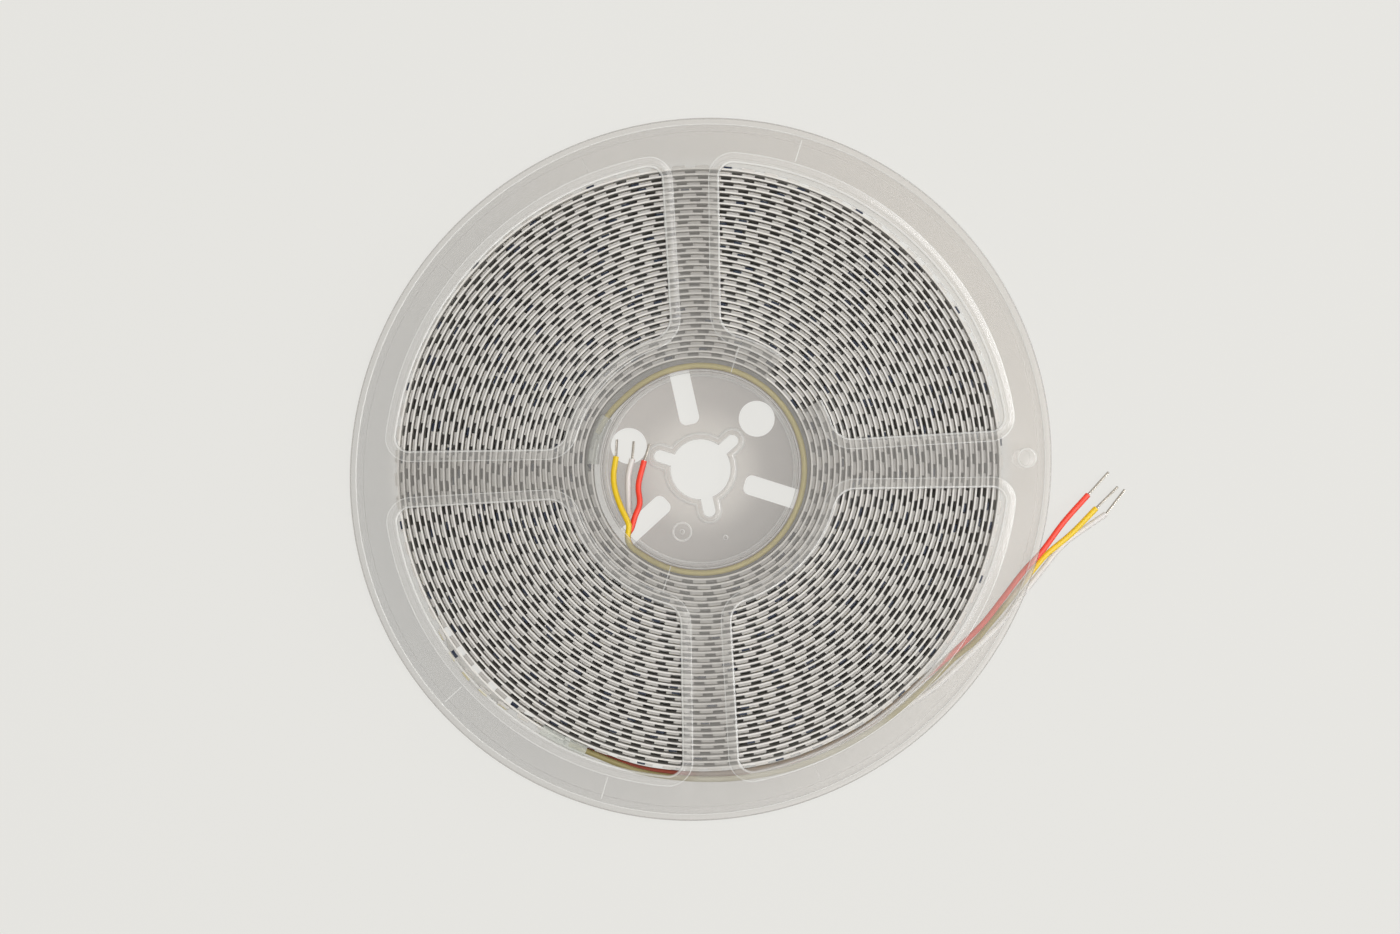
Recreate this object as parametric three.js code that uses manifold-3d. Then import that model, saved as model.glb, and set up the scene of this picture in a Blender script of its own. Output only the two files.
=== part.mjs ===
import * as THREE from "three";
import { mergeVertices } from "three/addons/utils/BufferGeometryUtils.js";
import Module from "manifold-3d";

const wasm = await Module();
wasm.setup();

// A reel of LED strip that lies on its rear flange, with the hub's axis on +Z and its underside at z = 0.
// Lengths are in millimetres and angles in degrees, counter-clockwise seen from the front.

// Fits
const seatGap = 0.3; // between pieces that rest on each other
const leadGap = 0.25; // between the hub's wall and the lead wound on it
const chordError = 0.2; // how far a facet strays from a round edge
const rootDepth = 0.5; // how far a raised detail reaches into what carries it
const cutPast = 1; // how far a cut runs past the faces that it opens

// Flanges
const flangeRadius = 90;
const plateThickness = 1.2;
const rimWidth = 1.8;
const rimHeight = 0.8; // of the lip round the edge, above the plate
const rimChamfer = 0.3;
const outerBandWidth = 11.2; // from a window to the edge
const bowReach = 1.2; // how far the edge bows out between one pair of spokes, and in between the next
const innerRingWidth = 10.4; // from the bore to a window
const spokeCount = 4;
const firstSpokeAngle = 2;
const spokeInnerWidth = 13; // where the spoke leaves the inner ring
const spokeOuterWidth = 14.8; // where it meets the outer band
const windowInnerCorner = 5.5;
const windowOuterCorner = 3.5;
const beadWidth = 2.8;
const beadTopWidth = 1.4; // from the window to where the bead slopes down
const beadHeight = 0.6;
const notchAngle = 42; // middle of the notch in the inner ring
const notchSpan = 24;
const notchDepth = 7.1; // from the window's inner edge toward the hub
const bossRadius = 2.5;
const bossTopRadius = 1.8;
const bossHeight = 0.6;
const bossFromEdge = 6.2;

// Hub
const hubRadius = 25.8;
const hubShoulder = 0.8; // step in the wall that each flange rests against
const spigotWall = 0.4;
const wallDraft = 0.1; // how far the wall thickens toward the floor
const floorThickness = 1.5;
const arborRadius = 7.8;
const keywayCount = 3;
const firstKeywayAngle = 42;
const keywayWidth = 3.1;
const keywayFromHole = 2.35; // from a keyway's tip to the round hole beyond it
const collarWidth = 1.9;
const collarHeight = 0.9;
const slotCount = 3;
const firstSlotAngle = 102.5;
const slotWidth = 5.2;
const slotStart = 12; // from the axis to the slot's inner end
const slotCorner = 1.8;
const holeRadius = 4.7;
const holeFromWall = 0.1; // from a hole's edge to the foot of the wall
const holeAngles = [42, 162];
const gateFromAxis = 17;
const gateAngle = 253.6;
const gateRadius = 2.6;
const gateWall = 0.5;
const gateHeight = 0.3;

// Strip
const stripWidth = 10;
const stripThickness = 0.45;
const turnCount = 34.22;
const turnPitch = 1.468;
const stripStartAngle = 164;
const stripStep = 12; // angle of one facet
const swellHeight = 1; // how far the sleeve on the inner end lifts the turns over it
const swellSpread = 30;
const swellTurns = 5; // turns in which the swelling fades
const leanFromEnd = 4.2; // angle from the strip's outer end to the stretch that leans outward
const leanSpan = 34;
const leanReach = 3.8; // of the strip's rear edge, in the middle of that stretch

// Leads
const wireDiameter = 1.5;
const coreDiameter = 0.7;
const innerCoreLength = 4.8;
const outerCoreLength = 8.3;
const wireSides = 8;
const wireStep = 3.75; // length of one facet of a wire
const wireMostSteps = 80;
const padPitch = 2.6; // between the three solder pads, across the strip
const innerWireStart = 3.2; // angle from the strip's inner end to the ends of its wires
const outerWireStart = 1.2;
const sleeveLength = 12.8;
const sleeveWall = 0.2;
const sleeveSlack = 0.25; // between the strip's edges and the sleeve
const sleeveRoom = 2.5; // inside the sleeve, square to the strip
const sleeveCorner = 0.5;
const sleeveSteps = 6;
const outerSleeveShift = 0.35; // outward from the strip, toward the wires
const solderLength = 3.8;
const solderWidth = 1.8;
const solderHeight = 0.7;
const solderRound = 0.28;
const solderGap = 0.12; // between the strip and the solder

// Levels that follow from them
const frontWidth = stripWidth + 2 * (sleeveSlack + sleeveWall + seatGap); // between the plates
const rearPlateTop = rimHeight + plateThickness;
const frontPlateBottom = rearPlateTop + frontWidth;
const stripBottom = rearPlateTop + seatGap + sleeveWall + sleeveSlack;
const stripMiddle = stripBottom + stripWidth / 2;
const hubBottom = rimHeight;
const hubTop = frontPlateBottom + plateThickness;
const floorTop = hubBottom + floorThickness;

// Radii that follow from them
const spigotRadius = hubRadius - hubShoulder;
const wallFootRadius = spigotRadius - spigotWall - wallDraft;
const holeFromAxis = wallFootRadius - holeFromWall - holeRadius;
const keywayReach = holeFromAxis - holeRadius - keywayFromHole;
const boreRadius = spigotRadius + seatGap;
const windowInnerRadius = boreRadius + innerRingWidth;
const windowOuterRadius = flangeRadius - outerBandWidth;
const leadRadius = hubRadius + leadGap + wireDiameter / 2;
const stripStartRadius = leadRadius + wireDiameter / 2 + seatGap;
const stripEndRadius = stripStartRadius + turnCount * turnPitch;
const stripEndAngle = stripStartAngle + turnCount * 360;
const innerWireEnd = stripStartAngle - innerWireStart;
const outerWireEnd = stripEndAngle + outerWireStart;

const radians = THREE.MathUtils.degToRad;
const degrees = THREE.MathUtils.radToDeg;
const axis = new THREE.Vector2();

function polar(radius, angle) {
  return new THREE.Vector2(radius * Math.cos(radians(angle)), radius * Math.sin(radians(angle)));
}

// Facets that a round stretch takes to stay within the chord error
function facets(radius, sweep) {
  const rise = Math.min(chordError, radius / 4);
  const step = 2 * degrees(Math.acos(1 - rise / radius));
  return Math.max(1, Math.ceil(Math.abs(sweep) / step));
}

function at(x, y, z) {
  return new THREE.Vector3(x, y, z);
}

function arc(centre, radius, from, to, count) {
  return Array.from({ length: count + 1 }, (_, i) =>
    polar(radius, from + ((to - from) * i) / count).add(centre),
  );
}

function circle(centre, radius) {
  return arc(centre, radius, 0, 360, facets(radius, 360)).slice(1);
}

function turned(points, angle) {
  return points.map((p) => p.clone().rotateAround(axis, radians(angle)));
}

function prism(outline, bottom, top, holes = []) {
  const shape = new THREE.Shape(outline);
  shape.holes = holes.map((points) => new THREE.Path(points));
  const geometry = new THREE.ExtrudeGeometry(shape, { depth: top - bottom, bevelEnabled: false });
  return geometry.translate(0, 0, bottom);
}

function revolved(profile, radius) {
  const points = profile.map(([r, z]) => new THREE.Vector2(r, z));
  return new THREE.LatheGeometry(points, facets(radius, 360)).rotateX(Math.PI / 2);
}

// A closed geometry as a solid that can be joined and cut
function solid(geometry) {
  const bare = geometry.clone();
  bare.deleteAttribute("normal");
  bare.deleteAttribute("uv");
  const merged = mergeVertices(bare, 1e-4);
  const index = merged.index.array;
  const faces = [];
  for (let i = 0; i < index.length; i += 3) {
    const [a, b, c] = index.slice(i, i + 3);
    if (a !== b && b !== c && c !== a) faces.push(a, b, c);
  }
  const mesh = new wasm.Mesh({
    numProp: 3,
    vertProperties: merged.attributes.position.array,
    triVerts: Uint32Array.from(faces),
  });
  return new wasm.Manifold(mesh);
}

function geometryOf(body) {
  const mesh = body.asOriginal().simplify(0.001).getMesh();
  const geometry = new THREE.BufferGeometry();
  geometry.setAttribute("position", new THREE.BufferAttribute(mesh.vertProperties, 3));
  geometry.setIndex(new THREE.BufferAttribute(mesh.triVerts, 1));
  geometry.computeVertexNormals();
  return geometry;
}

// Outline of the window between a spoke along +X and the next one, offset outward by grow. Its sides lie
// along the spokes, which widen outward, and its corners are round.
function windowOutline(grow) {
  const windowSpan = 360 / spokeCount;
  const lean = Math.atan2((spokeOuterWidth - spokeInnerWidth) / 2, windowOuterRadius - windowInnerRadius);
  const along = new THREE.Vector2(Math.cos(lean), Math.sin(lean));
  const across = new THREE.Vector2(-along.y, along.x);
  const offset = across.dot(new THREE.Vector2(windowInnerRadius, spokeInnerWidth / 2));
  const cornerCentre = (corner, radius) =>
    across
      .clone()
      .multiplyScalar(offset + corner)
      .addScaledVector(along, Math.sqrt(radius ** 2 - (offset + corner) ** 2));
  const inner = cornerCentre(windowInnerCorner, windowInnerRadius + windowInnerCorner);
  const outer = cornerCentre(windowOuterCorner, windowOuterRadius - windowOuterCorner);
  const innerAngle = degrees(inner.angle());
  const outerAngle = degrees(outer.angle());
  const side = degrees(lean) - 90;
  const middle = windowSpan / 2;
  const innerFacets = facets(windowInnerCorner, 90);
  const outerFacets = facets(windowOuterCorner, 90);
  const innerEdgeFacets = facets(windowInnerRadius, middle);
  const outerEdgeFacets = facets(windowOuterRadius, middle);
  const half = [
    ...arc(axis, windowInnerRadius - grow, middle, innerAngle, innerEdgeFacets),
    ...arc(inner, windowInnerCorner + grow, innerAngle - 180, side, innerFacets).slice(1),
    ...arc(outer, windowOuterCorner + grow, side, outerAngle, outerFacets),
    ...arc(axis, windowOuterRadius + grow, outerAngle, middle, outerEdgeFacets).slice(1),
  ];
  const mirrored = half.map((p) => polar(p.length(), windowSpan - degrees(p.angle())));
  return [...half, ...mirrored.slice(1, -1).reverse()];
}

// One flange moulding, with the face toward the strip at z = 0 and its outer band bowed by a reach
function flangeGeometry(reach) {
  const lipTop = plateThickness + rimHeight;
  const profile = [
    [boreRadius, 0],
    [flangeRadius, 0],
    [flangeRadius, lipTop - rimChamfer],
    [flangeRadius - rimChamfer, lipTop],
    [flangeRadius - rimWidth + rimChamfer, lipTop],
    [flangeRadius - rimWidth, plateThickness],
    [boreRadius, plateThickness],
    [boreRadius, 0],
  ];
  let body = solid(revolved(profile, flangeRadius));
  for (let i = 0; i < spokeCount; i++) {
    const angle = firstSpokeAngle + (i * 360) / spokeCount;
    const opening = prism(turned(windowOutline(0), angle), -cutPast, lipTop + cutPast);
    const slope = beadWidth - beadTopWidth;
    const bead = new THREE.ExtrudeGeometry(new THREE.Shape(turned(windowOutline(beadWidth), angle)), {
      depth: rootDepth / 2,
      bevelThickness: beadHeight,
      bevelSize: slope,
      bevelOffset: -slope,
      bevelSegments: 1,
    });
    body = body.add(solid(bead.translate(0, 0, plateThickness - rootDepth / 2))).subtract(solid(opening));
  }
  const notchFacets = facets(windowInnerRadius, notchSpan);
  const notch = [
    ...arc(axis, windowInnerRadius - notchDepth, notchSpan / 2, -notchSpan / 2, notchFacets),
    ...arc(axis, windowInnerRadius + beadWidth, -notchSpan / 2, notchSpan / 2, notchFacets),
  ];
  const bossTop = plateThickness + bossHeight;
  const boss = revolved(
    [
      [0, plateThickness - rootDepth],
      [bossRadius, plateThickness - rootDepth],
      [bossRadius, plateThickness + bossHeight / 2],
      [bossTopRadius, bossTop],
      [0, bossTop],
    ],
    bossRadius,
  );
  const bossPlace = polar(flangeRadius - bossFromEdge, firstSpokeAngle);
  const bow = (vertex) => {
    const place = new THREE.Vector2(vertex[0], vertex[1]);
    const outward = Math.max(0, place.length() - windowInnerRadius) / (flangeRadius - windowInnerRadius);
    const pastSpoke = place.angle() - radians(firstSpokeAngle);
    place.setLength(place.length() + reach * outward ** 2 * Math.sin((pastSpoke * spokeCount) / 2));
    vertex[0] = place.x;
    vertex[1] = place.y;
  };
  return geometryOf(
    body
      .subtract(solid(prism(turned(notch, notchAngle), -cutPast, lipTop + cutPast)))
      .add(solid(boss.translate(bossPlace.x, bossPlace.y, 0)))
      .warp(bow),
  );
}

// Outline of a bar that runs out from the axis and ends in a half circle
function roundEnded(halfWidth, reach) {
  const end = new THREE.Vector2(reach - halfWidth, 0);
  return [
    new THREE.Vector2(0, -halfWidth),
    ...arc(end, halfWidth, -90, 90, facets(halfWidth, 180)),
    new THREE.Vector2(0, halfWidth),
  ];
}

// The arbor hole with its keyways as one solid, grown by a width on all sides
function arborShape(grow, bottom, top) {
  let body = solid(prism(circle(axis, arborRadius + grow), bottom, top));
  for (let i = 0; i < keywayCount; i++) {
    const angle = firstKeywayAngle + (i * 360) / keywayCount;
    const keyway = roundEnded(keywayWidth / 2 + grow, keywayReach + grow);
    body = body.add(solid(prism(turned(keyway, angle), bottom, top)));
  }
  return body;
}

// A cup whose two ends step in to pass through the flanges' bores
function hubGeometry() {
  const profile = [
    [0, hubBottom],
    [spigotRadius, hubBottom],
    [spigotRadius, rearPlateTop + seatGap],
    [hubRadius, rearPlateTop + seatGap],
    [hubRadius, frontPlateBottom - seatGap],
    [spigotRadius, frontPlateBottom - seatGap],
    [spigotRadius, hubTop],
    [spigotRadius - spigotWall, hubTop],
    [wallFootRadius, floorTop],
    [0, floorTop],
  ];
  const gatePlace = polar(gateFromAxis, gateAngle);
  const gateTop = floorTop + gateHeight;
  const rootBottom = floorTop - rootDepth;
  const gateRing = prism(circle(gatePlace, gateRadius), rootBottom, gateTop, [
    circle(gatePlace, gateRadius - gateWall),
  ]);
  const gatePip = prism(circle(gatePlace, gateWall), rootBottom, gateTop);
  let body = solid(revolved(profile, hubRadius))
    .add(solid(gateRing))
    .add(solid(gatePip))
    .add(arborShape(collarWidth, rootBottom, floorTop + collarHeight))
    .subtract(arborShape(0, hubBottom - cutPast, floorTop + collarHeight + cutPast));
  const halfWidth = slotWidth / 2;
  const corner = new THREE.Vector2(slotStart + slotCorner, halfWidth - slotCorner);
  const cornerFacets = facets(slotCorner, 90);
  const slot = [
    ...arc(corner, slotCorner, 90, 180, cornerFacets),
    ...arc(new THREE.Vector2(corner.x, -corner.y), slotCorner, 180, 270, cornerFacets),
    new THREE.Vector2(hubRadius + cutPast, -halfWidth),
    new THREE.Vector2(hubRadius + cutPast, halfWidth),
  ];
  for (let i = 0; i < slotCount; i++) {
    const angle = firstSlotAngle + (i * 360) / slotCount;
    body = body.subtract(solid(prism(turned(slot, angle), hubBottom - cutPast, hubTop + cutPast)));
  }
  for (const angle of holeAngles) {
    const hole = circle(polar(holeFromAxis, angle), holeRadius);
    body = body.subtract(solid(prism(hole, hubBottom - cutPast, floorTop + cutPast)));
  }
  return geometryOf(body);
}

// Middle of the strip's thickness after a number of turns. The turns over the inner sleeve swell outward.
function stripRadius(turn) {
  const fromSleeve = turn - Math.round(turn);
  const lifted = turn > 0.5 ? Math.exp(-((fromSleeve * 360) ** 2) / swellSpread ** 2) : 0;
  return (
    stripStartRadius + turnPitch * turn + swellHeight * lifted * Math.exp(-Math.max(turn - 1, 0) / swellTurns)
  );
}

// The whole strip: seen from the front its edge is a spiral band, and that outline is as deep as the strip is
// wide. The rear edge of the last turn leans outward near its end.
function stripGeometry() {
  const steps = Math.ceil((turnCount * 360) / stripStep);
  const edge = (side) =>
    Array.from({ length: steps + 1 }, (_, i) => {
      const turn = (turnCount * i) / steps;
      return polar(stripRadius(turn) + (side * stripThickness) / 2, stripStartAngle + turn * 360);
    });
  const geometry = prism([...edge(1), ...edge(-1).reverse()], stripBottom, stripBottom + stripWidth);
  const position = geometry.attributes.position;
  for (let i = 0; i < position.count; i++) {
    const place = new THREE.Vector2(position.getX(i), position.getY(i));
    const fromEnd = THREE.MathUtils.euclideanModulo(stripEndAngle - degrees(place.angle()), 360);
    const intoLean = fromEnd - leanFromEnd;
    const onLastTurn = place.length() > stripRadius(turnCount - 0.5);
    if (intoLean > 0 && intoLean < leanSpan && onLastTurn && position.getZ(i) < stripMiddle) {
      place.setLength(place.length() + leanReach * Math.sin((Math.PI * intoLean) / leanSpan) ** 2);
      position.setXY(i, place.x, place.y);
    }
  }
  return geometry;
}

// A tube of clear film, flattened onto the strip round one end of it
function sleeveGeometry(radius, angle) {
  const outline = (grow) => {
    const round = sleeveCorner + grow;
    const x = stripWidth / 2 + sleeveSlack - sleeveCorner;
    const y = sleeveRoom / 2 - sleeveCorner;
    const count = facets(round, 90);
    const corner = (cx, cy, from) => arc(new THREE.Vector2(cx, cy), round, from, from + 90, count);
    return [...corner(x, -y, -90), ...corner(x, y, 0), ...corner(-x, y, 90), ...corner(-x, -y, 180)];
  };
  const shape = new THREE.Shape(outline(sleeveWall));
  shape.holes.push(new THREE.Path(outline(0)));
  const sweep = degrees(sleeveLength / radius);
  const bend = arc(axis, radius, angle - sweep / 2, angle + sweep / 2, sleeveSteps);
  const path = new THREE.CatmullRomCurve3(bend.map((p) => at(p.x, p.y, stripMiddle)));
  return new THREE.ExtrudeGeometry(shape, { steps: sleeveSteps, extrudePath: path, bevelEnabled: false });
}

// A flat lump of solder over one pad, on the strip's outer face
function solderGeometry(radius, angle, height) {
  const end = new THREE.Vector2((solderLength - solderWidth) / 2, 0);
  const endFacets = facets(solderWidth / 2, 180);
  const shape = new THREE.Shape([
    ...arc(end, solderWidth / 2, -90, 90, endFacets),
    ...arc(end.clone().negate(), solderWidth / 2, 90, 270, endFacets),
  ]);
  const lump = new THREE.ExtrudeGeometry(shape, {
    depth: solderHeight - 2 * solderRound,
    bevelThickness: solderRound,
    bevelSize: solderRound,
    bevelOffset: -solderRound,
    bevelSegments: 1,
  });
  const out = polar(1, angle);
  const basis = new THREE.Matrix4().makeBasis(
    new THREE.Vector3(out.y, -out.x, 0),
    new THREE.Vector3(0, 0, -1),
    new THREE.Vector3(out.x, out.y, 0),
  );
  const base = radius + stripThickness / 2 + solderGap + solderRound;
  return lump.applyMatrix4(basis).translate(out.x * base, out.y * base, height);
}

function tubeGeometry(points, diameter) {
  const path = new THREE.CatmullRomCurve3(points);
  const section = new THREE.Shape(arc(axis, diameter / 2, 0, 360, wireSides).slice(1));
  const steps = Math.min(wireMostSteps, Math.ceil(path.getLength() / wireStep));
  return new THREE.ExtrudeGeometry(section, { steps, extrudePath: path, bevelEnabled: false });
}

// Round stretch of a lead from one place to another, each given by its radius, angle and height
function wound(start, end, count) {
  return Array.from({ length: count + 1 }, (_, i) => {
    const [radius, angle, height] = start.map((value, k) => value + ((end[k] - value) * i) / count);
    return at(...polar(radius, angle), height);
  });
}

// Inner lead: from the strip's inner end it runs clockwise round the hub and in through a hub slot
const innerRise = [
  { outward: 0.35, angle: innerWireEnd },
  { outward: 0.05, angle: innerWireEnd - 6 },
  { outward: -0.3, angle: innerWireEnd - 13 },
  { outward: -0.8, angle: innerWireEnd - 22 },
];
const innerWound = { from: 125, to: -126, points: 17 };
const innerEntry = [
  { x: -17.93, y: -20 },
  { x: -18.75, y: -18.4 },
  { x: -18.8, y: -16.7 },
];
const innerFree = {
  red: [
    at(-18, -15.5, 7.6),
    at(-17, -12.2, 7.2),
    at(-15.8, -9, 6.4),
    at(-16.2, -4.4, 5),
    at(-14.7, 2.2, 4),
  ],
  yellow: [
    at(-18.5, -14.6, 10.3),
    at(-20.7, -9.6, 9),
    at(-22.2, -5.2, 7.4),
    at(-22.6, -1.5, 6),
    at(-22, 3.2, 4.6),
  ],
  white: [
    at(-18.1, -14.6, 5),
    at(-18.6, -11, 4.6),
    at(-18.8, -6.5, 4),
    at(-18.8, -1.5, 3.6),
    at(-17.8, 2.7, 3.5),
  ],
};
const innerTips = { red: at(-13.2, 6.9, 3.8), yellow: at(-21.8, 7.9, 3.8), white: at(-17.4, 7.6, 3.4) };

// Outer lead: from the strip's outer end it follows the roll, then leaves between the flanges
const outerFree = {
  red: [
    at(62.6, -49.6, 10.2),
    at(72.4, -40.4, 9.7),
    at(78.3, -33.1, 9.2),
    at(83.3, -26.7, 8.5),
    at(88.3, -21.4, 7.4),
    at(94.4, -13.8, 4.4),
    at(101.1, -6.7, 1.7),
  ],
  yellow: [
    at(60.5, -53.9, 8.4),
    at(65.3, -49.2, 8),
    at(70.9, -44.6, 7.6),
    at(75.8, -39, 7.2),
    at(80.7, -33.1, 6.9),
    at(86.5, -25.8, 6.4),
    at(89.5, -22.4, 5.9),
    at(96.7, -16.6, 3.6),
    at(103.2, -10.2, 1.8),
  ],
  white: [
    at(51.2, -62.7, 5.1),
    at(57.1, -59.3, 5.1),
    at(64, -53.9, 5),
    at(70.9, -47, 4.9),
    at(78.8, -39.2, 4.8),
    at(82.6, -34, 4.6),
    at(88.3, -26.9, 3.9),
    at(94.7, -19.5, 2.6),
    at(100.8, -15.1, 1.6),
    at(105.9, -11.7, 0.95),
  ],
};
const outerRise = [
  { outward: 0.45, angle: outerWireEnd },
  { outward: 0.4, angle: outerWireEnd + 5 },
];
// Between these angles yellow and white move outward. Each wire then keeps its place until it leaves.
const outerCrossing = { from: outerWireEnd + 14, to: outerWireEnd + 40, past: outerWireEnd + 46 };
const outerCrossed = {
  red: { start: 78.9, radius: 79, height: 8, leaves: outerWireEnd + 71.6 },
  yellow: { start: 79.5, radius: 80.6, height: 9.2, leaves: outerWireEnd + 61.6 },
  white: { start: 79.4, radius: 80.9, height: 5.1, leaves: outerWireEnd + 51.6 },
};
const outerTips = { red: at(106.9, -0.4, 1), yellow: at(109.7, -3.9, 0.9), white: at(110.8, -5.4, 0.7) };

// Looks of the preview
const frosted = { color: 0xd2cfca, roughness: 0.35 };
const hubPlastic = { color: 0xc9c3bd, roughness: 0.35 };
const whiteStrip = { color: 0xe6e3dc, roughness: 0.6 };
const clearFilm = { color: 0xdfe3dc, roughness: 0.2 };
const tinned = { color: 0x9a948c, roughness: 0.35, metalness: 0.8 };
const solder = { color: 0xb8b8b8, roughness: 0.3, metalness: 0.9 };

const part = new THREE.Group();

function add(name, geometry, look) {
  const mesh = new THREE.Mesh(geometry, new THREE.MeshStandardMaterial(look));
  mesh.name = name;
  part.add(mesh);
  return mesh;
}

// A bare tinned end, in line with the wire and just clear of its insulation
function addCore(name, wireEnd, tip, length) {
  const along = tip.clone().sub(wireEnd).normalize();
  const start = wireEnd.clone().addScaledVector(along, seatGap);
  const end = wireEnd.clone().addScaledVector(along, length);
  add(name, tubeGeometry([start, start.clone().lerp(end, 0.5), end], coreDiameter), tinned);
}

add("front_flange", flangeGeometry(bowReach), frosted).position.z = frontPlateBottom;

// The rear flange is the same moulding, turned over about its spokes and bowed the same way as the front one
const rearFlange = add("rear_flange", flangeGeometry(-bowReach), frosted);
const spokeAxis = polar(1, firstSpokeAngle);
rearFlange.quaternion.setFromAxisAngle(at(spokeAxis.x, spokeAxis.y, 0), Math.PI);
rearFlange.position.z = rearPlateTop;

add("hub", hubGeometry(), hubPlastic);
add("led_strip", stripGeometry(), whiteStrip);
add("inner_sleeve", sleeveGeometry(stripStartRadius, stripStartAngle), clearFilm);
add("outer_sleeve", sleeveGeometry(stripEndRadius + outerSleeveShift, stripEndAngle), clearFilm);

const wires = [
  { name: "red", pad: 0, look: { color: 0xd84436, roughness: 0.45 } },
  { name: "yellow", pad: 1, look: { color: 0xe2b714, roughness: 0.45 } },
  { name: "white", pad: -1, look: { color: 0xe4e0dc, roughness: 0.45 } },
];
const innerSolderMiddle = stripStartAngle + degrees(solderLength / 4 / stripStartRadius);
const outerSolderMiddle = stripEndAngle - degrees(solderLength / 4 / stripEndRadius);

for (const { name, pad, look } of wires) {
  const height = stripMiddle + pad * padPitch;
  const innerRoute = [
    ...innerRise.map(({ outward, angle }) => at(...polar(stripStartRadius + outward, angle), height)),
    ...wound([leadRadius, innerWound.from, height], [leadRadius, innerWound.to, height], innerWound.points),
    ...innerEntry.map(({ x, y }) => at(x, y, height)),
    ...innerFree[name],
  ];
  add(`inner_wire_${name}`, tubeGeometry(innerRoute, wireDiameter), look);
  addCore(`inner_core_${name}`, innerRoute.at(-1), innerTips[name], innerCoreLength);
  add(`inner_solder_${name}`, solderGeometry(stripStartRadius, innerSolderMiddle, height), solder);

  const crossed = outerCrossed[name];
  const outerRoute = [
    ...outerRise.map(({ outward, angle }) => at(...polar(stripEndRadius + outward, angle), height)),
    ...wound(
      [crossed.start, outerCrossing.from, height],
      [crossed.radius, outerCrossing.to, crossed.height],
      4,
    ),
    ...wound(
      [crossed.radius, outerCrossing.past, crossed.height],
      [crossed.radius, crossed.leaves, crossed.height],
      2,
    ),
    ...outerFree[name],
  ];
  add(`outer_wire_${name}`, tubeGeometry(outerRoute, wireDiameter), look);
  addCore(`outer_core_${name}`, outerRoute.at(-1), outerTips[name], outerCoreLength);
  add(`outer_solder_${name}`, solderGeometry(stripEndRadius, outerSolderMiddle, height), solder);
}

export default part;
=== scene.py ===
import math

import bmesh
import bpy
import numpy as np
from mathutils import Matrix, Vector
from mathutils.kdtree import KDTree


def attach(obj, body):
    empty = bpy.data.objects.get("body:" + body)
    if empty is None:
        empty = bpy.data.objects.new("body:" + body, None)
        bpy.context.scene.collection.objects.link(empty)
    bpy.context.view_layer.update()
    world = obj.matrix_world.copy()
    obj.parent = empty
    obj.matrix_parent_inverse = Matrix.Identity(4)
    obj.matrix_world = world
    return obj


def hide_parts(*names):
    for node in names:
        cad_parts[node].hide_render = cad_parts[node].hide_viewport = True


# A reel of LED strip that lies on its rear flange. Sizes are in millimetres and angles in degrees,
# counter-clockwise seen from the front, unless a line says otherwise.
MM = 0.001

# Fits
SEAT_GAP = 0.3  # between pieces that rest on each other
ROOT_DEPTH = 0.5  # how far a raised detail reaches into what carries it
CUT_PAST = 1  # how far a cut runs past the faces that it opens

# Flanges
FLANGE_RADIUS = 90
PLATE = 1.2
PLATE_CHAMFER = 0.15
RIM_WIDTH = 1.8
RIM_HEIGHT = 0.8  # of the lip round the edge, above the plate
RIM_ROUND = 0.35
BORE_RADIUS = 25.3
WINDOW_INNER_RADIUS = 35.7
WINDOW_OUTER_RADIUS = 78.8
SPOKE_COUNT = 4
FIRST_SPOKE_ANGLE = 2
SPOKE_INNER_WIDTH = 13
SPOKE_OUTER_WIDTH = 14.8
WINDOW_INNER_CORNER = 5.5
WINDOW_OUTER_CORNER = 3.5
BEAD_WIDTH = 2.8
BEAD_TOP_WIDTH = 1.4
BEAD_HEIGHT = 0.6
BRIGHT_EDGE = 0.5  # width of the painted highlight along a window, for the light that the clear plastic gathers there
BOW_REACH = 1.2  # how far the edge bows out between one pair of spokes, and in between the next
NOTCH_ANGLE = 42
NOTCH_SPAN = 24
NOTCH_DEPTH = 7.1
BOSS_RADIUS = 2.5
BOSS_TOP_RADIUS = 1.8
BOSS_HEIGHT = 0.6
BOSS_FROM_EDGE = 6.2
WELD_WIDTH = 0.24
WELD_HEIGHT = 0.07
# Fine lines where the melt met in the mould: the angle of each, and the radii that it runs between
WELD_LINES = ((72.6, 26, 35.9), (252.9, 26, 35.9), (72.9, 82, 87.6), (222.3, 82, 87.6), (253.2, 82, 87.6))
REAR_PLATE_TOP = 2.0
FRONT_PLATE_BOTTOM = 13.5

# Hub
HUB_RADIUS = 25.8
HUB_BOTTOM = 0.8
HUB_TOP = 14.7
SPIGOT_RADIUS = 25.0
SPIGOT_WALL = 0.4
WALL_DRAFT = 0.1
FLOOR_TOP = 2.3
ARBOR_RADIUS = 7.8
KEYWAY_ANGLES = (42, 162, 282)
KEYWAY_WIDTH = 3.1
KEYWAY_REACH = 12.65
COLLAR_WIDTH = 1.9
COLLAR_HEIGHT = 0.9
SLOT_ANGLES = (102.5, 222.5, 342.5)
SLOT_WIDTH = 5.2
SLOT_START = 12
SLOT_CORNER = 1.8
HOLE_RADIUS = 4.7
HOLE_FROM_AXIS = 19.7
HOLE_ANGLES = (42, 162)
GATE_FROM_AXIS = 17
GATE_ANGLE = 253.6
GATE_RADIUS = 2.6
GATE_WALL = 0.5
GATE_HEIGHT = 0.3
PIP_RADIUS = 0.7  # of the small marks that the mould leaves, in the gate's ring and beside it
PIP_FROM_AXIS = 18.95
PIP_ANGLE = 290.2

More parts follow.
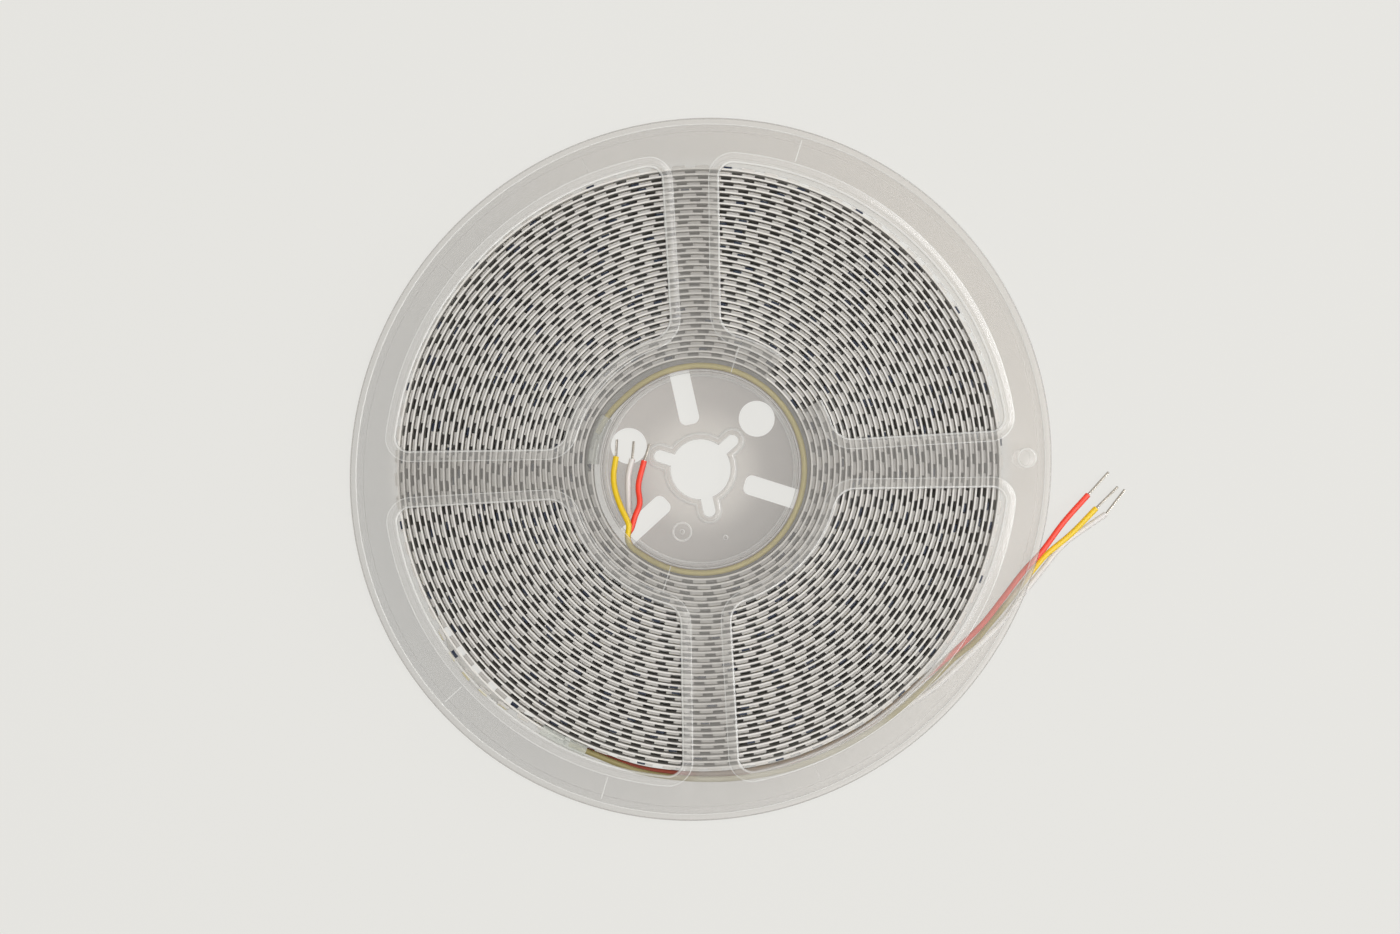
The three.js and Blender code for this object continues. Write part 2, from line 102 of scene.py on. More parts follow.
# Strip
STRIP_WIDTH = 10
STRIP_THICKNESS = 0.45
STRIP_BOTTOM = 2.75
STRIP_MIDDLE = 7.75
TURN_COUNT = 34.22
TURN_PITCH = 1.468
STRIP_START_ANGLE = 164
STRIP_START_RADIUS = 27.85
STRIP_END_RADIUS = STRIP_START_RADIUS + TURN_COUNT * TURN_PITCH
STRIP_END_ANGLE = STRIP_START_ANGLE + TURN_COUNT * 360
SWELL_HEIGHT = 1  # how far the sleeve on the inner end lifts the turns over it
SWELL_SPREAD = 30
SWELL_TURNS = 5  # turns in which the swelling fades
STRAYS = ((0.2, 3, 0.105), (0.12, 7, -0.14))  # each wave's height, its count in a turn and its drift outward
LEAN_FROM_END = 4.2  # angle from the strip's outer end to the stretch that leans outward
LEAN_SPAN = 34
LEAN_REACH = 3.8  # of the strip's rear edge, in the middle of that stretch
LIGHT_PITCH = 5.95
FIRST_LIGHT = 4  # from the strip's inner end
LIGHTS_PER_RESISTOR = 6
CHIP_LENGTH = 3.4
CHIP_WIDTH = 2.8
CHIP_HEIGHT = 0.94
CHIP_CHAMFER = 0.08
LENS_LENGTH = 2.6
LENS_WIDTH = 2.1
LENS_THICKNESS = 0.06
RESISTOR_SIZE = (2.1, 0.8, 2.0)
RESISTOR_CHAMFER = 0.05
RESISTOR_ABOVE_MIDDLE = 1.3

# Leads
WIRE_DIAMETER = 1.5
WIRE_STEP = 1.5  # length of one straight stretch of a wire's curve
CORE_DIAMETER = 0.7
CORE_ROOT = 0.2  # how far a bare end reaches into its insulation
INNER_CORE_LENGTH = 4.8
OUTER_CORE_LENGTH = 8.3
STRANDS = 6
LAY_LENGTH = 3.2  # in which the strands go round once
LOBE_DEPTH = 0.22  # of the grooves between strands, as a share of the core's radius
LEAD_RADIUS = 26.8
PAD_PITCH = 2.6  # between the three solder joints, across the strip
INNER_WIRE_END = STRIP_START_ANGLE - 3.2
OUTER_WIRE_END = STRIP_END_ANGLE + 1.2
SLEEVE_LENGTH = 12.8
SLEEVE_HALF_WIDTH = 5.45
SLEEVE_HALF_ROOM = 1.45
SLEEVE_CORNER = 0.7
SLEEVE_WALL = 0.2
OUTER_SLEEVE_SHIFT = 0.35  # outward from the strip, toward the wires

# Setting
BACKDROP = "#E6E5E1"
FLAT_SHARE = 0.85  # of the floor's look that is as written, and the rest is its shading
FLOOR_REACH = 6000
FLOOR_DROP = 0.2  # keeps the floor clear of the rim that rests on it


def linear(code):
    """The linear colour of an sRGB hex value."""
    parts = [int(code[i:i + 2], 16) / 255 for i in (1, 3, 5)]
    return tuple(c / 12.92 if c <= 0.04045 else ((c + 0.055) / 1.055) ** 2.4 for c in parts) + (1.0,)


def add_node(tree, kind, inputs=None, **settings):
    """A node with its settings, and its inputs set to values or linked to sockets."""
    node = tree.nodes.new(kind)
    for name, value in settings.items():
        setattr(node, name, value)
    for key, value in (inputs or {}).items():
        if isinstance(value, bpy.types.Node):
            value = value.outputs[0]
        if isinstance(value, bpy.types.NodeSocket):
            tree.links.new(value, node.inputs[key])
        else:
            node.inputs[key].default_value = value
    return node


def new_material(name):
    """A material and its empty tree."""
    material = bpy.data.materials.new(name)
    material.use_nodes = True
    material.node_tree.nodes.clear()
    return material, material.node_tree


def close_material(tree, shader):
    """Ends a material's tree in its shader."""
    add_node(tree, "ShaderNodeOutputMaterial", {"Surface": shader})


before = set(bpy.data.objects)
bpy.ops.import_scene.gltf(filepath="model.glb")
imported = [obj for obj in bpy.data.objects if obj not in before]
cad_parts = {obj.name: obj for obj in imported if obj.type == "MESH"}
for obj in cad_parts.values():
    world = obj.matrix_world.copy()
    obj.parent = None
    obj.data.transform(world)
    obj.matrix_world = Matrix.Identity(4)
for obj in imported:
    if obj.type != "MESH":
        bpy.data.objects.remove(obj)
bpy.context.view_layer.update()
scene = bpy.context.scene
scene.view_settings.view_transform = "Standard"


# Geometry

def polar(radius, angle):
    """The point at a radius and an angle."""
    return np.array((radius * math.cos(math.radians(angle)), radius * math.sin(math.radians(angle))))


def arc(centre, radius, start, stop, count):
    """Points of an arc in a number of equal steps."""
    return [np.asarray(centre) + polar(radius, start + (stop - start) * i / count) for i in range(count + 1)]


def turned(points, angle):
    """Points turned about the axis."""
    c, s = math.cos(math.radians(angle)), math.sin(math.radians(angle))
    return [np.array((c * x - s * y, s * x + c * y)) for x, y in points]


def new_object(name, data):
    """An object that is in the scene."""
    made = bpy.data.objects.new(name, data)
    scene.collection.objects.link(made)
    return made


def mesh_object(name, vertices, faces, material=None):
    """A mesh from points in millimetres, with its doubles merged and its faces outward."""
    mesh = bpy.data.meshes.new(name)
    mesh.from_pydata([tuple(float(c) * MM for c in v) for v in vertices], [], faces)
    shape = bmesh.new()
    shape.from_mesh(mesh)
    bmesh.ops.remove_doubles(shape, verts=shape.verts, dist=1e-7)
    bmesh.ops.recalc_face_normals(shape, faces=shape.faces)
    shape.to_mesh(mesh)
    shape.free()
    if material:
        mesh.materials.append(material)
    return new_object(name, mesh)


def loft(name, loops, closed=True, material=None):
    """Quads between loops of as many points each. A closed one joins the last loop to the first."""
    count = len(loops[0])
    vertices = [p for loop in loops for p in loop]
    faces = []
    for k in range(len(loops) if closed else len(loops) - 1):
        for i in range(count):
            a, b = k * count, (k + 1) % len(loops) * count
            faces.append((a + i, a + (i + 1) % count, b + (i + 1) % count, b + i))
    if not closed:
        faces += [tuple(range(count)), tuple(range(len(vertices) - count, len(vertices)))[::-1]]
    return mesh_object(name, vertices, faces, material)


def revolved(name, profile, facets):
    """A closed profile of radius and height, turned about the hub's axis."""
    loops = [[(*polar(r, 360 * i / facets), z) for i in range(facets)] for r, z in profile]
    return loft(name, loops)


def capped(name, profile, facets, centre=(0, 0)):
    """A profile of radius and height from bottom to top, turned and closed by a flat face at each end."""
    loops = [
        [(centre[0] + p[0], centre[1] + p[1], z) for p in (polar(r, 360 * i / facets) for i in range(facets))]
        for r, z in profile
    ]
    return loft(name, loops, False)


def prism(name, outline, bottom, top):
    """An outline drawn up from one height to another."""
    return loft(name, [[(x, y, z) for x, y in outline] for z in (bottom, top)], False)


def joined(name, pieces):
    """Separate closed shells as one object."""
    shape = bmesh.new()
    for piece in pieces:
        shape.from_mesh(piece.data)
        bpy.data.objects.remove(piece)
    mesh = bpy.data.meshes.new(name)
    shape.to_mesh(mesh)
    shape.free()
    return new_object(name, mesh)


def plain(piece, name):
    """The piece as its modifiers leave it, as a plain mesh under the given name."""
    evaluated = piece.evaluated_get(bpy.context.evaluated_depsgraph_get())
    made = new_object(name, bpy.data.meshes.new_from_object(evaluated))
    bpy.data.objects.remove(piece)
    made.name = name
    return made


def cut_and_joined(body, steps, name, material):
    """The body after each cut or union, as one closed shell."""
    for tool, operation in steps:
        change = body.modifiers.new(tool.name, "BOOLEAN")
        change.object = tool
        change.operation = operation
        change.solver = "MANIFOLD"
    made = plain(body, name)
    for tool, _ in steps:
        bpy.data.objects.remove(tool)
    made.data.materials.clear()
    made.data.materials.append(material)
    return made


def smoothed(piece, angle=35):
    """Shades the piece smooth, apart from its edges sharper than the angle."""
    piece.data.shade_smooth()
    piece.data.set_sharp_from_angle(angle=math.radians(angle))
    return piece


def with_painted_highlights(piece, material, level=0.92):
    """Gives the sloped and upright faces the finish of edges: a painted highlight, for the light that clear
    plastic gathers there.

    The level is how much of a face's normal points up or down where a flat face begins.
    """
    piece.data.materials.append(material)
    for polygon in piece.data.polygons:
        polygon.material_index = int(abs(polygon.normal.z) < level)
    return piece


def moved(piece, place):
    """Moves the piece's points: place gives new coordinates in metres for an array of them."""
    mesh = piece.data
    co = np.zeros(len(mesh.vertices) * 3)
    mesh.vertices.foreach_get("co", co)
    mesh.vertices.foreach_set("co", place(co.reshape(-1, 3)).ravel())
    mesh.update()
    return piece


def kept(piece, slot, *nodes):
    """The piece rides on the reel and stands for its CAD nodes. The slot is not used."""
    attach(piece, "root")
    if nodes:
        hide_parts(*nodes)
    return piece


# Materials. A mix of colours has them at its inputs 6 and 7 and its result at its output 2, and a plain mix
# has its values at its inputs 2 and 3.

CLOUDS_PER_METRE = 35.0
CLOUD_SHARE = 0.2  # of the haze's drift
GRAINS_PER_METRE = 1500.0  # coarser than real blasting, which is too fine for the frame


def share_past(tree, place, centre, start, stop):
    """A share that goes from 0 to 1 between two distances in mm from an upright line through the centre."""
    flat = add_node(tree, "ShaderNodeVectorMath", {0: place, 1: (1.0, 1.0, 0.0)}, operation="MULTIPLY")
    away = add_node(tree, "ShaderNodeVectorMath", {
        0: flat, 1: (centre[0] * MM, centre[1] * MM, 0.0),
    }, operation="DISTANCE").outputs["Value"]
    return add_node(tree, "ShaderNodeMapRange", {
        "Value": away, "From Min": start * MM, "From Max": stop * MM,
    }, interpolation_type="SMOOTHSTEP")


def frosted_plastic(name, colour, alpha, roughness, middle=None, drift=(20, 90), grain_strength=0.35):
    """Clear polystyrene, moulded against a lightly blasted tool: hazy, with soft highlights on its edges.

    The haze drifts from the first colour to the second along the drift's angle, over its distance in mm to
    either side of the axis: painted light, one side painted lighter and the other darker as the light falls.
    The middle is the haze round the axis: its colour, and the distances in mm over which it ends.
    """
    material, tree = new_material(name)
    place = add_node(tree, "ShaderNodeTexCoord").outputs["Object"]
    # painted light: the tone drifts lighter toward the drift's angle and darker away from it
    angle, reach = drift
    along = add_node(tree, "ShaderNodeVectorMath", {
        0: place, 1: (*polar(1, angle), 0.0),
    }, operation="DOT_PRODUCT").outputs["Value"]
    share = add_node(tree, "ShaderNodeMapRange", {
        "Value": along, "From Min": -reach * MM, "From Max": reach * MM,
    })
    cloud = add_node(tree, "ShaderNodeTexNoise", {"Vector": place, "Scale": CLOUDS_PER_METRE, "Detail": 2.0})
    flow = add_node(tree, "ShaderNodeMix", {"Factor": CLOUD_SHARE, 2: share, 3: cloud})
    tint = add_node(tree, "ShaderNodeMix", {
        "Factor": flow, 6: linear(colour[0]), 7: linear(colour[1]),
    }, data_type="RGBA")
    if middle:
        middle_colour, start, stop = middle
        share = share_past(tree, place, (0, 0), start, stop)
        tint = add_node(tree, "ShaderNodeMix", {
            "Factor": share, 6: linear(middle_colour), 7: tint.outputs[2],
        }, data_type="RGBA")
    grain = add_node(tree, "ShaderNodeTexNoise", {
        "Vector": place, "Scale": GRAINS_PER_METRE, "Detail": 1.0,
    })
    bump = add_node(tree, "ShaderNodeBump", {
        "Height": grain, "Distance": 0.03 * MM, "Strength": grain_strength,
    })
    close_material(tree, add_node(tree, "ShaderNodeBsdfPrincipled", {
        "Base Color": tint.outputs[2], "Roughness": roughness, "IOR": 1.59, "Alpha": alpha, "Normal": bump,
    }))
    return material


def simple_finish(name, colours, roughness, scale, metallic=0.0, alpha=1.0, painted_light_by_place=()):
    """An even finish with a slow drift between two tones and a fine grain.

    The scale is the drift's size in mm. Each stretch of painted light or shade by place has a centre and two
    distances from it in mm, between which the tone changes to its colour, or back to the drifting tone where
    it has none.
    """
    material, tree = new_material(name)
    place = add_node(tree, "ShaderNodeTexCoord").outputs["Object"]
    drift = add_node(tree, "ShaderNodeTexNoise", {"Vector": place, "Scale": 1 / (scale * MM), "Detail": 3.0})
    tint = add_node(tree, "ShaderNodeMix", {
        "Factor": drift, 6: linear(colours[0]), 7: linear(colours[1]),
    }, data_type="RGBA")
    drifting = tint.outputs[2]
    for centre, start, stop, colour in painted_light_by_place:
        tint = add_node(tree, "ShaderNodeMix", {
            "Factor": share_past(tree, place, centre, start, stop), 6: tint.outputs[2],
            7: linear(colour) if colour else drifting,
        }, data_type="RGBA")
    grain = add_node(tree, "ShaderNodeTexNoise", {"Vector": place, "Scale": 4 / (scale * MM), "Detail": 2.0})
    bump = add_node(tree, "ShaderNodeBump", {"Height": grain, "Distance": 0.02 * MM, "Strength": 0.4})
    close_material(tree, add_node(tree, "ShaderNodeBsdfPrincipled", {
        "Base Color": tint.outputs[2], "Roughness": roughness, "Metallic": metallic, "Alpha": alpha,
        "Normal": bump,
    }))
    return material


# Clear polystyrene, injection-moulded on a lightly blasted tool: the plates dim what lies behind a little,
# and look paler over the outer band. Over the outer band the haze is painted light: cooler and darker on one
# side, warmer and lighter toward 20 degrees, where more light falls.
frosted = frosted_plastic("Frosted polystyrene", ("#949391", "#BEB3A6"), 0.16, 0.3, ("#BCB8B2", 78, 81))
# Upright and sloped walls of the same moulding, smoother: a painted highlight, whiter and denser than the
# plate, for the light that they gather, so they show as white lines, painted a little lighter toward 20
# degrees
frosted_edge_highlight = frosted_plastic(
    "Frosted polystyrene edges", ("#EFEEEA", "#F5F4F1"), 0.45, 0.2, grain_strength=0.1,
)
# The lip of the rim is thicker, so it looks denser than the plate; as on the plate, its tone is painted
# light, lighter toward 20 degrees
frosted_rim = frosted_plastic("Frosted polystyrene rim", ("#A09D98", "#C4BCB2"), 0.38, 0.3)
# The beads round the windows are thick but smooth, and clear enough to see the strip. They are painted paler
# than the plate: painted light, for the band of light that their slopes catch
frosted_bead = frosted_plastic(
    "Frosted polystyrene beads", ("#CFCDC9", "#E6E2DB"), 0.26, 0.2, grain_strength=0.1,
)
# The outermost edge turns away from the light, so it ends the reel in a thin darker line
frosted_brim = frosted_plastic("Frosted polystyrene outer edge", ("#A39E98", "#ADA8A2"), 0.42, 0.3)
# Injection-moulded clear polystyrene, thicker than the plates: warm grey. Its tone is painted light: paler
# round the arbor, and lighter toward 130 degrees than on the far side
hub_clear = frosted_plastic(
    "Clear polystyrene hub", ("#8B837D", "#ADA59E"), 0.4, 0.25, ("#C2BBB3", 10, 19), (130, 25),
)
# The hub's walls and steps: a painted highlight, whiter and denser than the floor, for the light that they
# gather as the flanges' edges do
hub_edge_highlight = frosted_plastic("Clear polystyrene hub edges", ("#DAD8D4", "#E2E0DC"), 0.5, 0.2)
AXIS = (0, 0)
LAST_TURN_RADIUS = STRIP_END_RADIUS - TURN_PITCH
# White ink printed on the flexible board: matt and even. Its faces are painted grey as painted shade, for
# between the turns they lie in the shade of the slits, and only the last turn's face, in full light, is
# painted white.
white_mask = simple_finish("White solder mask", ("#BDBAB5", "#C8C5C0"), 0.55, 12, painted_light_by_place=(
    (AXIS, LAST_TURN_RADIUS - 0.1, LAST_TURN_RADIUS, "#F0EEEA"),
))
# The board's slit edge, between two white faces: a pale, dull line along each turn
cut_edge = simple_finish("Cut edge of the strip", ("#D5D1CB", "#DFDCD6"), 0.6, 12)
# Moulded white housing of a light: a little glossier than the edge beside it, and painted greyer as painted
# shade, for the chips sit deep in the slits between the turns
chip_plastic = simple_finish("White LED housing", ("#CBC7C2", "#D4D1CC"), 0.4, 4)
# Silicone filled with phosphor, cast into the housing: smooth and yellow while the light is off
phosphor = simple_finish("Phosphor silicone", ("#E8D35A", "#F0DE74"), 0.3, 2)
# Glazed top of a chip resistor: glossy blue-black
resistor_glaze = simple_finish("Resistor glaze", ("#1C2433", "#28324A"), 0.25, 2)
# Copper strands, drawn and tinned by dipping: a grey metal with soft highlights along the twist
tinned = simple_finish("Tinned copper", ("#948E86", "#C6C2BC"), 0.35, 1.2, metallic=1.0)
# Solder, melted onto the pads: a brighter and smoother metal
solder_metal = simple_finish("Solder", ("#B9B9BA", "#D2D2D3"), 0.25, 1.5, metallic=1.0)
# Shrunk polyolefin film: clear, with a wet shine
film = simple_finish("Clear heat-shrink film", ("#D9DCD3", "#E4E6DF"), 0.12, 5, alpha=0.3)
# Extruded PVC, even and slightly waxy. Between the plates the red and yellow wires are painted greyer, and
# darker round the crossing: painted shade, for little light reaches them under the haze there. The white wire
# is painted brighter between the plates: painted light.
SHADE_BEFORE_CROSSING = (-21, -76)
SHADE_AFTER_CROSSING = (64, -50)
insulation = {
    "red": simple_finish("Red PVC insulation", ("#F03C26", "#F7452C"), 0.55, 6, painted_light_by_place=(
        (AXIS, 25.6, 26.3, "#A39862"), (AXIS, 70, 76, "#9C9085"), (SHADE_BEFORE_CROSSING, 22, 15, "#8E4030"),
        (AXIS, 79.3, 80.3, "#D4402E"), (AXIS, 88, 92, None),
    )),
    "yellow": simple_finish("Yellow PVC insulation", ("#E4BE10", "#EAC81A"), 0.55, 6, painted_light_by_place=(
        (AXIS, 25.6, 26.3, "#B9AB67"), (AXIS, 70, 76, "#BFBAA6"), (SHADE_BEFORE_CROSSING, 22, 15, "#8C8052"),
        (SHADE_AFTER_CROSSING, 26, 18, "#978B4C"), (AXIS, 88, 91, None),
    )),
    "white": simple_finish("White PVC insulation", ("#D5D0CD", "#DDD9D5"), 0.55, 6, painted_light_by_place=(
        (AXIS, 70, 76, "#F4F3F1"), (AXIS, 88, 92, None),
    )),
}


# Camera, straight above the reel, with its places in metres
CAMERA_HEIGHT = 0.7455
FRAME_WIDTH = 0.3587
FRONT_PLANE = 0.0155
REEL_OFFSET = (-0.00017, 0.00059)
camera_data = bpy.data.cameras.new("camera")
camera_data.sensor_width = 36.0
camera_data.lens = 36.0 * (CAMERA_HEIGHT - FRONT_PLANE) / FRAME_WIDTH
camera = new_object("camera", camera_data)
camera.location = (*REEL_OFFSET, CAMERA_HEIGHT)
scene.camera = camera


# Leads, on the routes that they have in the CAD. Points along a lead or the strip are in metres.

def on_reel(radius, angle, height):
    """A point in metres, from its radius, angle and height in mm."""
    return (*(polar(radius, angle) * MM), height * MM)


def catmull_rom(points, spacing):
    """A centripetal curve through the points, as points that lie about the spacing apart."""
    points = [np.asarray(p, float) for p in points]
    line = [2 * points[0] - points[1], *points, 2 * points[-1] - points[-2]]
    out = []
    for i in range(1, len(line) - 2):
        p0, p1, p2, p3 = line[i - 1:i + 3]
        t0 = 0.0
        t1 = t0 + max(np.linalg.norm(p1 - p0), 1e-9) ** 0.5
        t2 = t1 + max(np.linalg.norm(p2 - p1), 1e-9) ** 0.5
        t3 = t2 + max(np.linalg.norm(p3 - p2), 1e-9) ** 0.5
        count = max(2, math.ceil(np.linalg.norm(p2 - p1) / spacing))
        for k in range(count):
            t = t1 + (t2 - t1) * k / count
            a1 = (t1 - t) / (t1 - t0) * p0 + (t - t0) / (t1 - t0) * p1
            a2 = (t2 - t) / (t2 - t1) * p1 + (t - t1) / (t2 - t1) * p2
            a3 = (t3 - t) / (t3 - t2) * p2 + (t - t2) / (t3 - t2) * p3
            b1 = (t2 - t) / (t2 - t0) * a1 + (t - t0) / (t2 - t0) * a2
            b2 = (t3 - t) / (t3 - t1) * a2 + (t - t1) / (t3 - t1) * a3
            out.append((t2 - t) / (t2 - t1) * b1 + (t - t1) / (t2 - t1) * b2)
    out.append(points[-1])
    return out


def wound(start, end, count):
    """Round stretch of a lead, between places given by radius, angle and height in mm."""
    return [on_reel(*(a + (b - a) * i / count for a, b in zip(start, end))) for i in range(count + 1)]


# Off the strip's inner end, by distance outward and angle, then round the hub and in through its slot
INNER_RISE = ((0.35, 0), (0.05, 6), (-0.3, 13), (-0.8, 22))
INNER_WOUND = (125, -126, 17)  # from one angle to the other, and the count of stretches
INNER_ENTRY = ((-0.01793, -0.02), (-0.01875, -0.0184), (-0.0188, -0.0167))
INNER_FREE = {
    "red": (
        (-0.018, -0.0155, 0.0076), (-0.017, -0.0122, 0.0072), (-0.0158, -0.009, 0.0064),
        (-0.0162, -0.0044, 0.005), (-0.0147, 0.0022, 0.004),
    ),
    "yellow": (
        (-0.0185, -0.0146, 0.0103), (-0.0207, -0.0096, 0.009), (-0.0222, -0.0052, 0.0074),
        (-0.0226, -0.0015, 0.006), (-0.022, 0.0032, 0.0046),
    ),
    "white": (
        (-0.0181, -0.0146, 0.005), (-0.0186, -0.011, 0.0046), (-0.0188, -0.0065, 0.004),
        (-0.0188, -0.0015, 0.0036), (-0.0178, 0.0027, 0.0035),
    ),
}
INNER_TIPS = {
    "red": (-0.0132, 0.0069, 0.0038), "yellow": (-0.0218, 0.0079, 0.0038), "white": (-0.0174, 0.0076, 0.0034),
}
# Off the strip's outer end, and across the strip's width to the height at which each wire leaves the reel
OUTER_RISE = ((0.45, 0), (0.4, 5))
OUTER_CROSSING = (14, 40, 46)  # angles past the strip's end where it starts, ends, and is past
# Each wire's radius where the crossing starts and ends, its height past it, and the angle where it leaves
OUTER_CROSSED = {
    "red": (78.9, 79, 8, 71.6), "yellow": (79.5, 80.6, 9.2, 61.6), "white": (79.4, 80.9, 5.1, 51.6),
}
OUTER_FREE = {
    "red": (
        (0.0626, -0.0496, 0.0102), (0.0724, -0.0404, 0.0097), (0.0783, -0.0331, 0.0092),
        (0.0833, -0.0267, 0.0085), (0.0883, -0.0214, 0.0074), (0.0944, -0.0138, 0.0044),
        (0.1011, -0.0067, 0.0017),
    ),
    "yellow": (
        (0.0605, -0.0539, 0.0084), (0.0653, -0.0492, 0.008), (0.0709, -0.0446, 0.0076),
        (0.0758, -0.039, 0.0072), (0.0807, -0.0331, 0.0069), (0.0865, -0.0258, 0.0064),
        (0.0895, -0.0224, 0.0059), (0.0967, -0.0166, 0.0036), (0.1032, -0.0102, 0.0018),
    ),
    "white": (
        (0.0512, -0.0627, 0.0051), (0.0571, -0.0593, 0.0051), (0.064, -0.0539, 0.005),
        (0.0709, -0.047, 0.0049), (0.0788, -0.0392, 0.0048), (0.0826, -0.034, 0.0046),
        (0.0883, -0.0269, 0.0039), (0.0947, -0.0195, 0.0026), (0.1008, -0.0151, 0.0016),
        (0.1059, -0.0117, 0.00095),
    ),
}
OUTER_TIPS = {
    "red": (0.1069, -0.0004, 0.001), "yellow": (0.1097, -0.0039, 0.0009), "white": (0.1108, -0.0054, 0.0007),
}
PADS = {"red": 0, "yellow": 1, "white": -1}  # each wire's joint, counted up from the strip's middle


def socket_identifier(tree, name):
    """A modifier's input is named by its identifier."""
    return next(
        item.identifier for item in tree.interface.items_tree
        if item.item_type == "SOCKET" and item.in_out == "INPUT" and item.name == name
    )


def with_tree(piece, tree, values):
    """Gives the piece a Geometry Nodes modifier with its inputs set."""
    modifier = piece.modifiers.new(tree.name, "NODES")
    modifier.node_group = tree
    for name, value in values.items():
        modifier[socket_identifier(tree, name)] = value
    return piece


def new_tree(name, sockets):
    """A Geometry Nodes tree with a path as its geometry and the named inputs."""
    tree = bpy.data.node_groups.new(name, "GeometryNodeTree")
    tree.interface.new_socket("Path", in_out="INPUT", socket_type="NodeSocketGeometry")
    for label, kind in sockets.items():
        tree.interface.new_socket(label, in_out="INPUT", socket_type=kind)
    tree.interface.new_socket("Geometry", in_out="OUTPUT", socket_type="NodeSocketGeometry")
    return tree, tree.nodes.new("NodeGroupInput").outputs


def close_tree(tree, geometry, material):
    """Ends a tree in Realize Instances and Set Material."""
    real = add_node(tree, "GeometryNodeRealizeInstances", {"Geometry": geometry})
    painted = add_node(tree, "GeometryNodeSetMaterial", {"Geometry": real, "Material": material})
    output = tree.nodes.new("NodeGroupOutput")
    tree.links.new(painted.outputs[0], output.inputs[0])
    return tree


def path_object(name, points):
    """Points in metres as a line of edges."""
    mesh = bpy.data.meshes.new(name)
    edges = [(i, i + 1) for i in range(len(points) - 1)]
    mesh.from_pydata([tuple(float(c) for c in p) for p in points], edges, [])
    return new_object(name, mesh)


def strand_tree():
    """Twisted strands: a lobed section swept along the path while it turns."""
    tree, inputs = new_tree("Twisted strands", {
        "Radius": "NodeSocketFloat", "Strands": "NodeSocketFloat", "Lay length": "NodeSocketFloat",
        "Finish": "NodeSocketMaterial",
    })
    curve = add_node(tree, "GeometryNodeMeshToCurve", {"Mesh": inputs["Path"]})
    fine = add_node(tree, "GeometryNodeResampleCurve", {"Curve": curve, "Count": 60})
    along = add_node(tree, "GeometryNodeSplineParameter")
    turns = add_node(tree, "ShaderNodeMath", {
        0: along.outputs["Length"], 1: inputs["Lay length"],
    }, operation="DIVIDE")
    tilt = add_node(tree, "ShaderNodeMath", {0: turns, 1: math.tau}, operation="MULTIPLY")
    tilted = add_node(tree, "GeometryNodeSetCurveTilt", {"Curve": fine, "Tilt": tilt})
    ring = add_node(tree, "GeometryNodeCurvePrimitiveCircle", {"Resolution": 24, "Radius": inputs["Radius"]})
    share = add_node(tree, "GeometryNodeSplineParameter")
    around = add_node(tree, "ShaderNodeMath", {0: share.outputs["Factor"], 1: math.tau}, operation="MULTIPLY")
    lobes = add_node(tree, "ShaderNodeMath", {0: around, 1: inputs["Strands"]}, operation="MULTIPLY")
    wave = add_node(tree, "ShaderNodeMath", {0: lobes}, operation="COSINE")
    size = add_node(tree, "ShaderNodeMath", {
        0: wave, 1: LOBE_DEPTH, 2: 1 - LOBE_DEPTH,
    }, operation="MULTIPLY_ADD")
    place = add_node(tree, "GeometryNodeInputPosition")
    scaled = add_node(tree, "ShaderNodeVectorMath", {0: place, 3: size}, operation="SCALE")
    section = add_node(tree, "GeometryNodeSetPosition", {"Geometry": ring, "Position": scaled})
    swept = add_node(tree, "GeometryNodeCurveToMesh", {
        "Curve": tilted, "Profile Curve": section, "Fill Caps": True,
    })
    return close_tree(tree, swept, inputs["Finish"])


strands = strand_tree()


def lead(colour, side, route, tip, core_length):
    """One wire as a curve, with its bare tinned end."""
    points = catmull_rom(route, WIRE_STEP * MM)
    data = bpy.data.curves.new(f"{side}_lead_{colour}", "CURVE")
    data.dimensions = "3D"
    data.bevel_depth = WIRE_DIAMETER / 2 * MM
    data.bevel_resolution = 5
    data.use_fill_caps = True
    spline = data.splines.new("POLY")
    spline.points.add(len(points) - 1)
    for target, point in zip(spline.points, points):
        target.co = (*point, 1.0)
    wire = new_object(data.name, data)
    data.materials.append(insulation[colour])
    spline.use_smooth = True
    along = Vector(tip) - Vector(points[-1])
    along.normalize()
    start = Vector(points[-1]) - along * CORE_ROOT * MM
    bare = path_object("bare_end_path", [start + along * core_length * MM * i / 8 for i in range(9)])
    with_tree(bare, strands, {
        "Radius": CORE_DIAMETER / 2 * MM, "Strands": float(STRANDS), "Lay length": LAY_LENGTH * MM,
        "Finish": tinned,
    })
    bare = smoothed(plain(bare, f"{side}_bare_end_{colour}"), 80)
    kept(bare, "tinned_copper", f"{side}_core_{colour}")
    kept(wire, f"{colour}_insulation", f"{side}_wire_{colour}")
    return wire


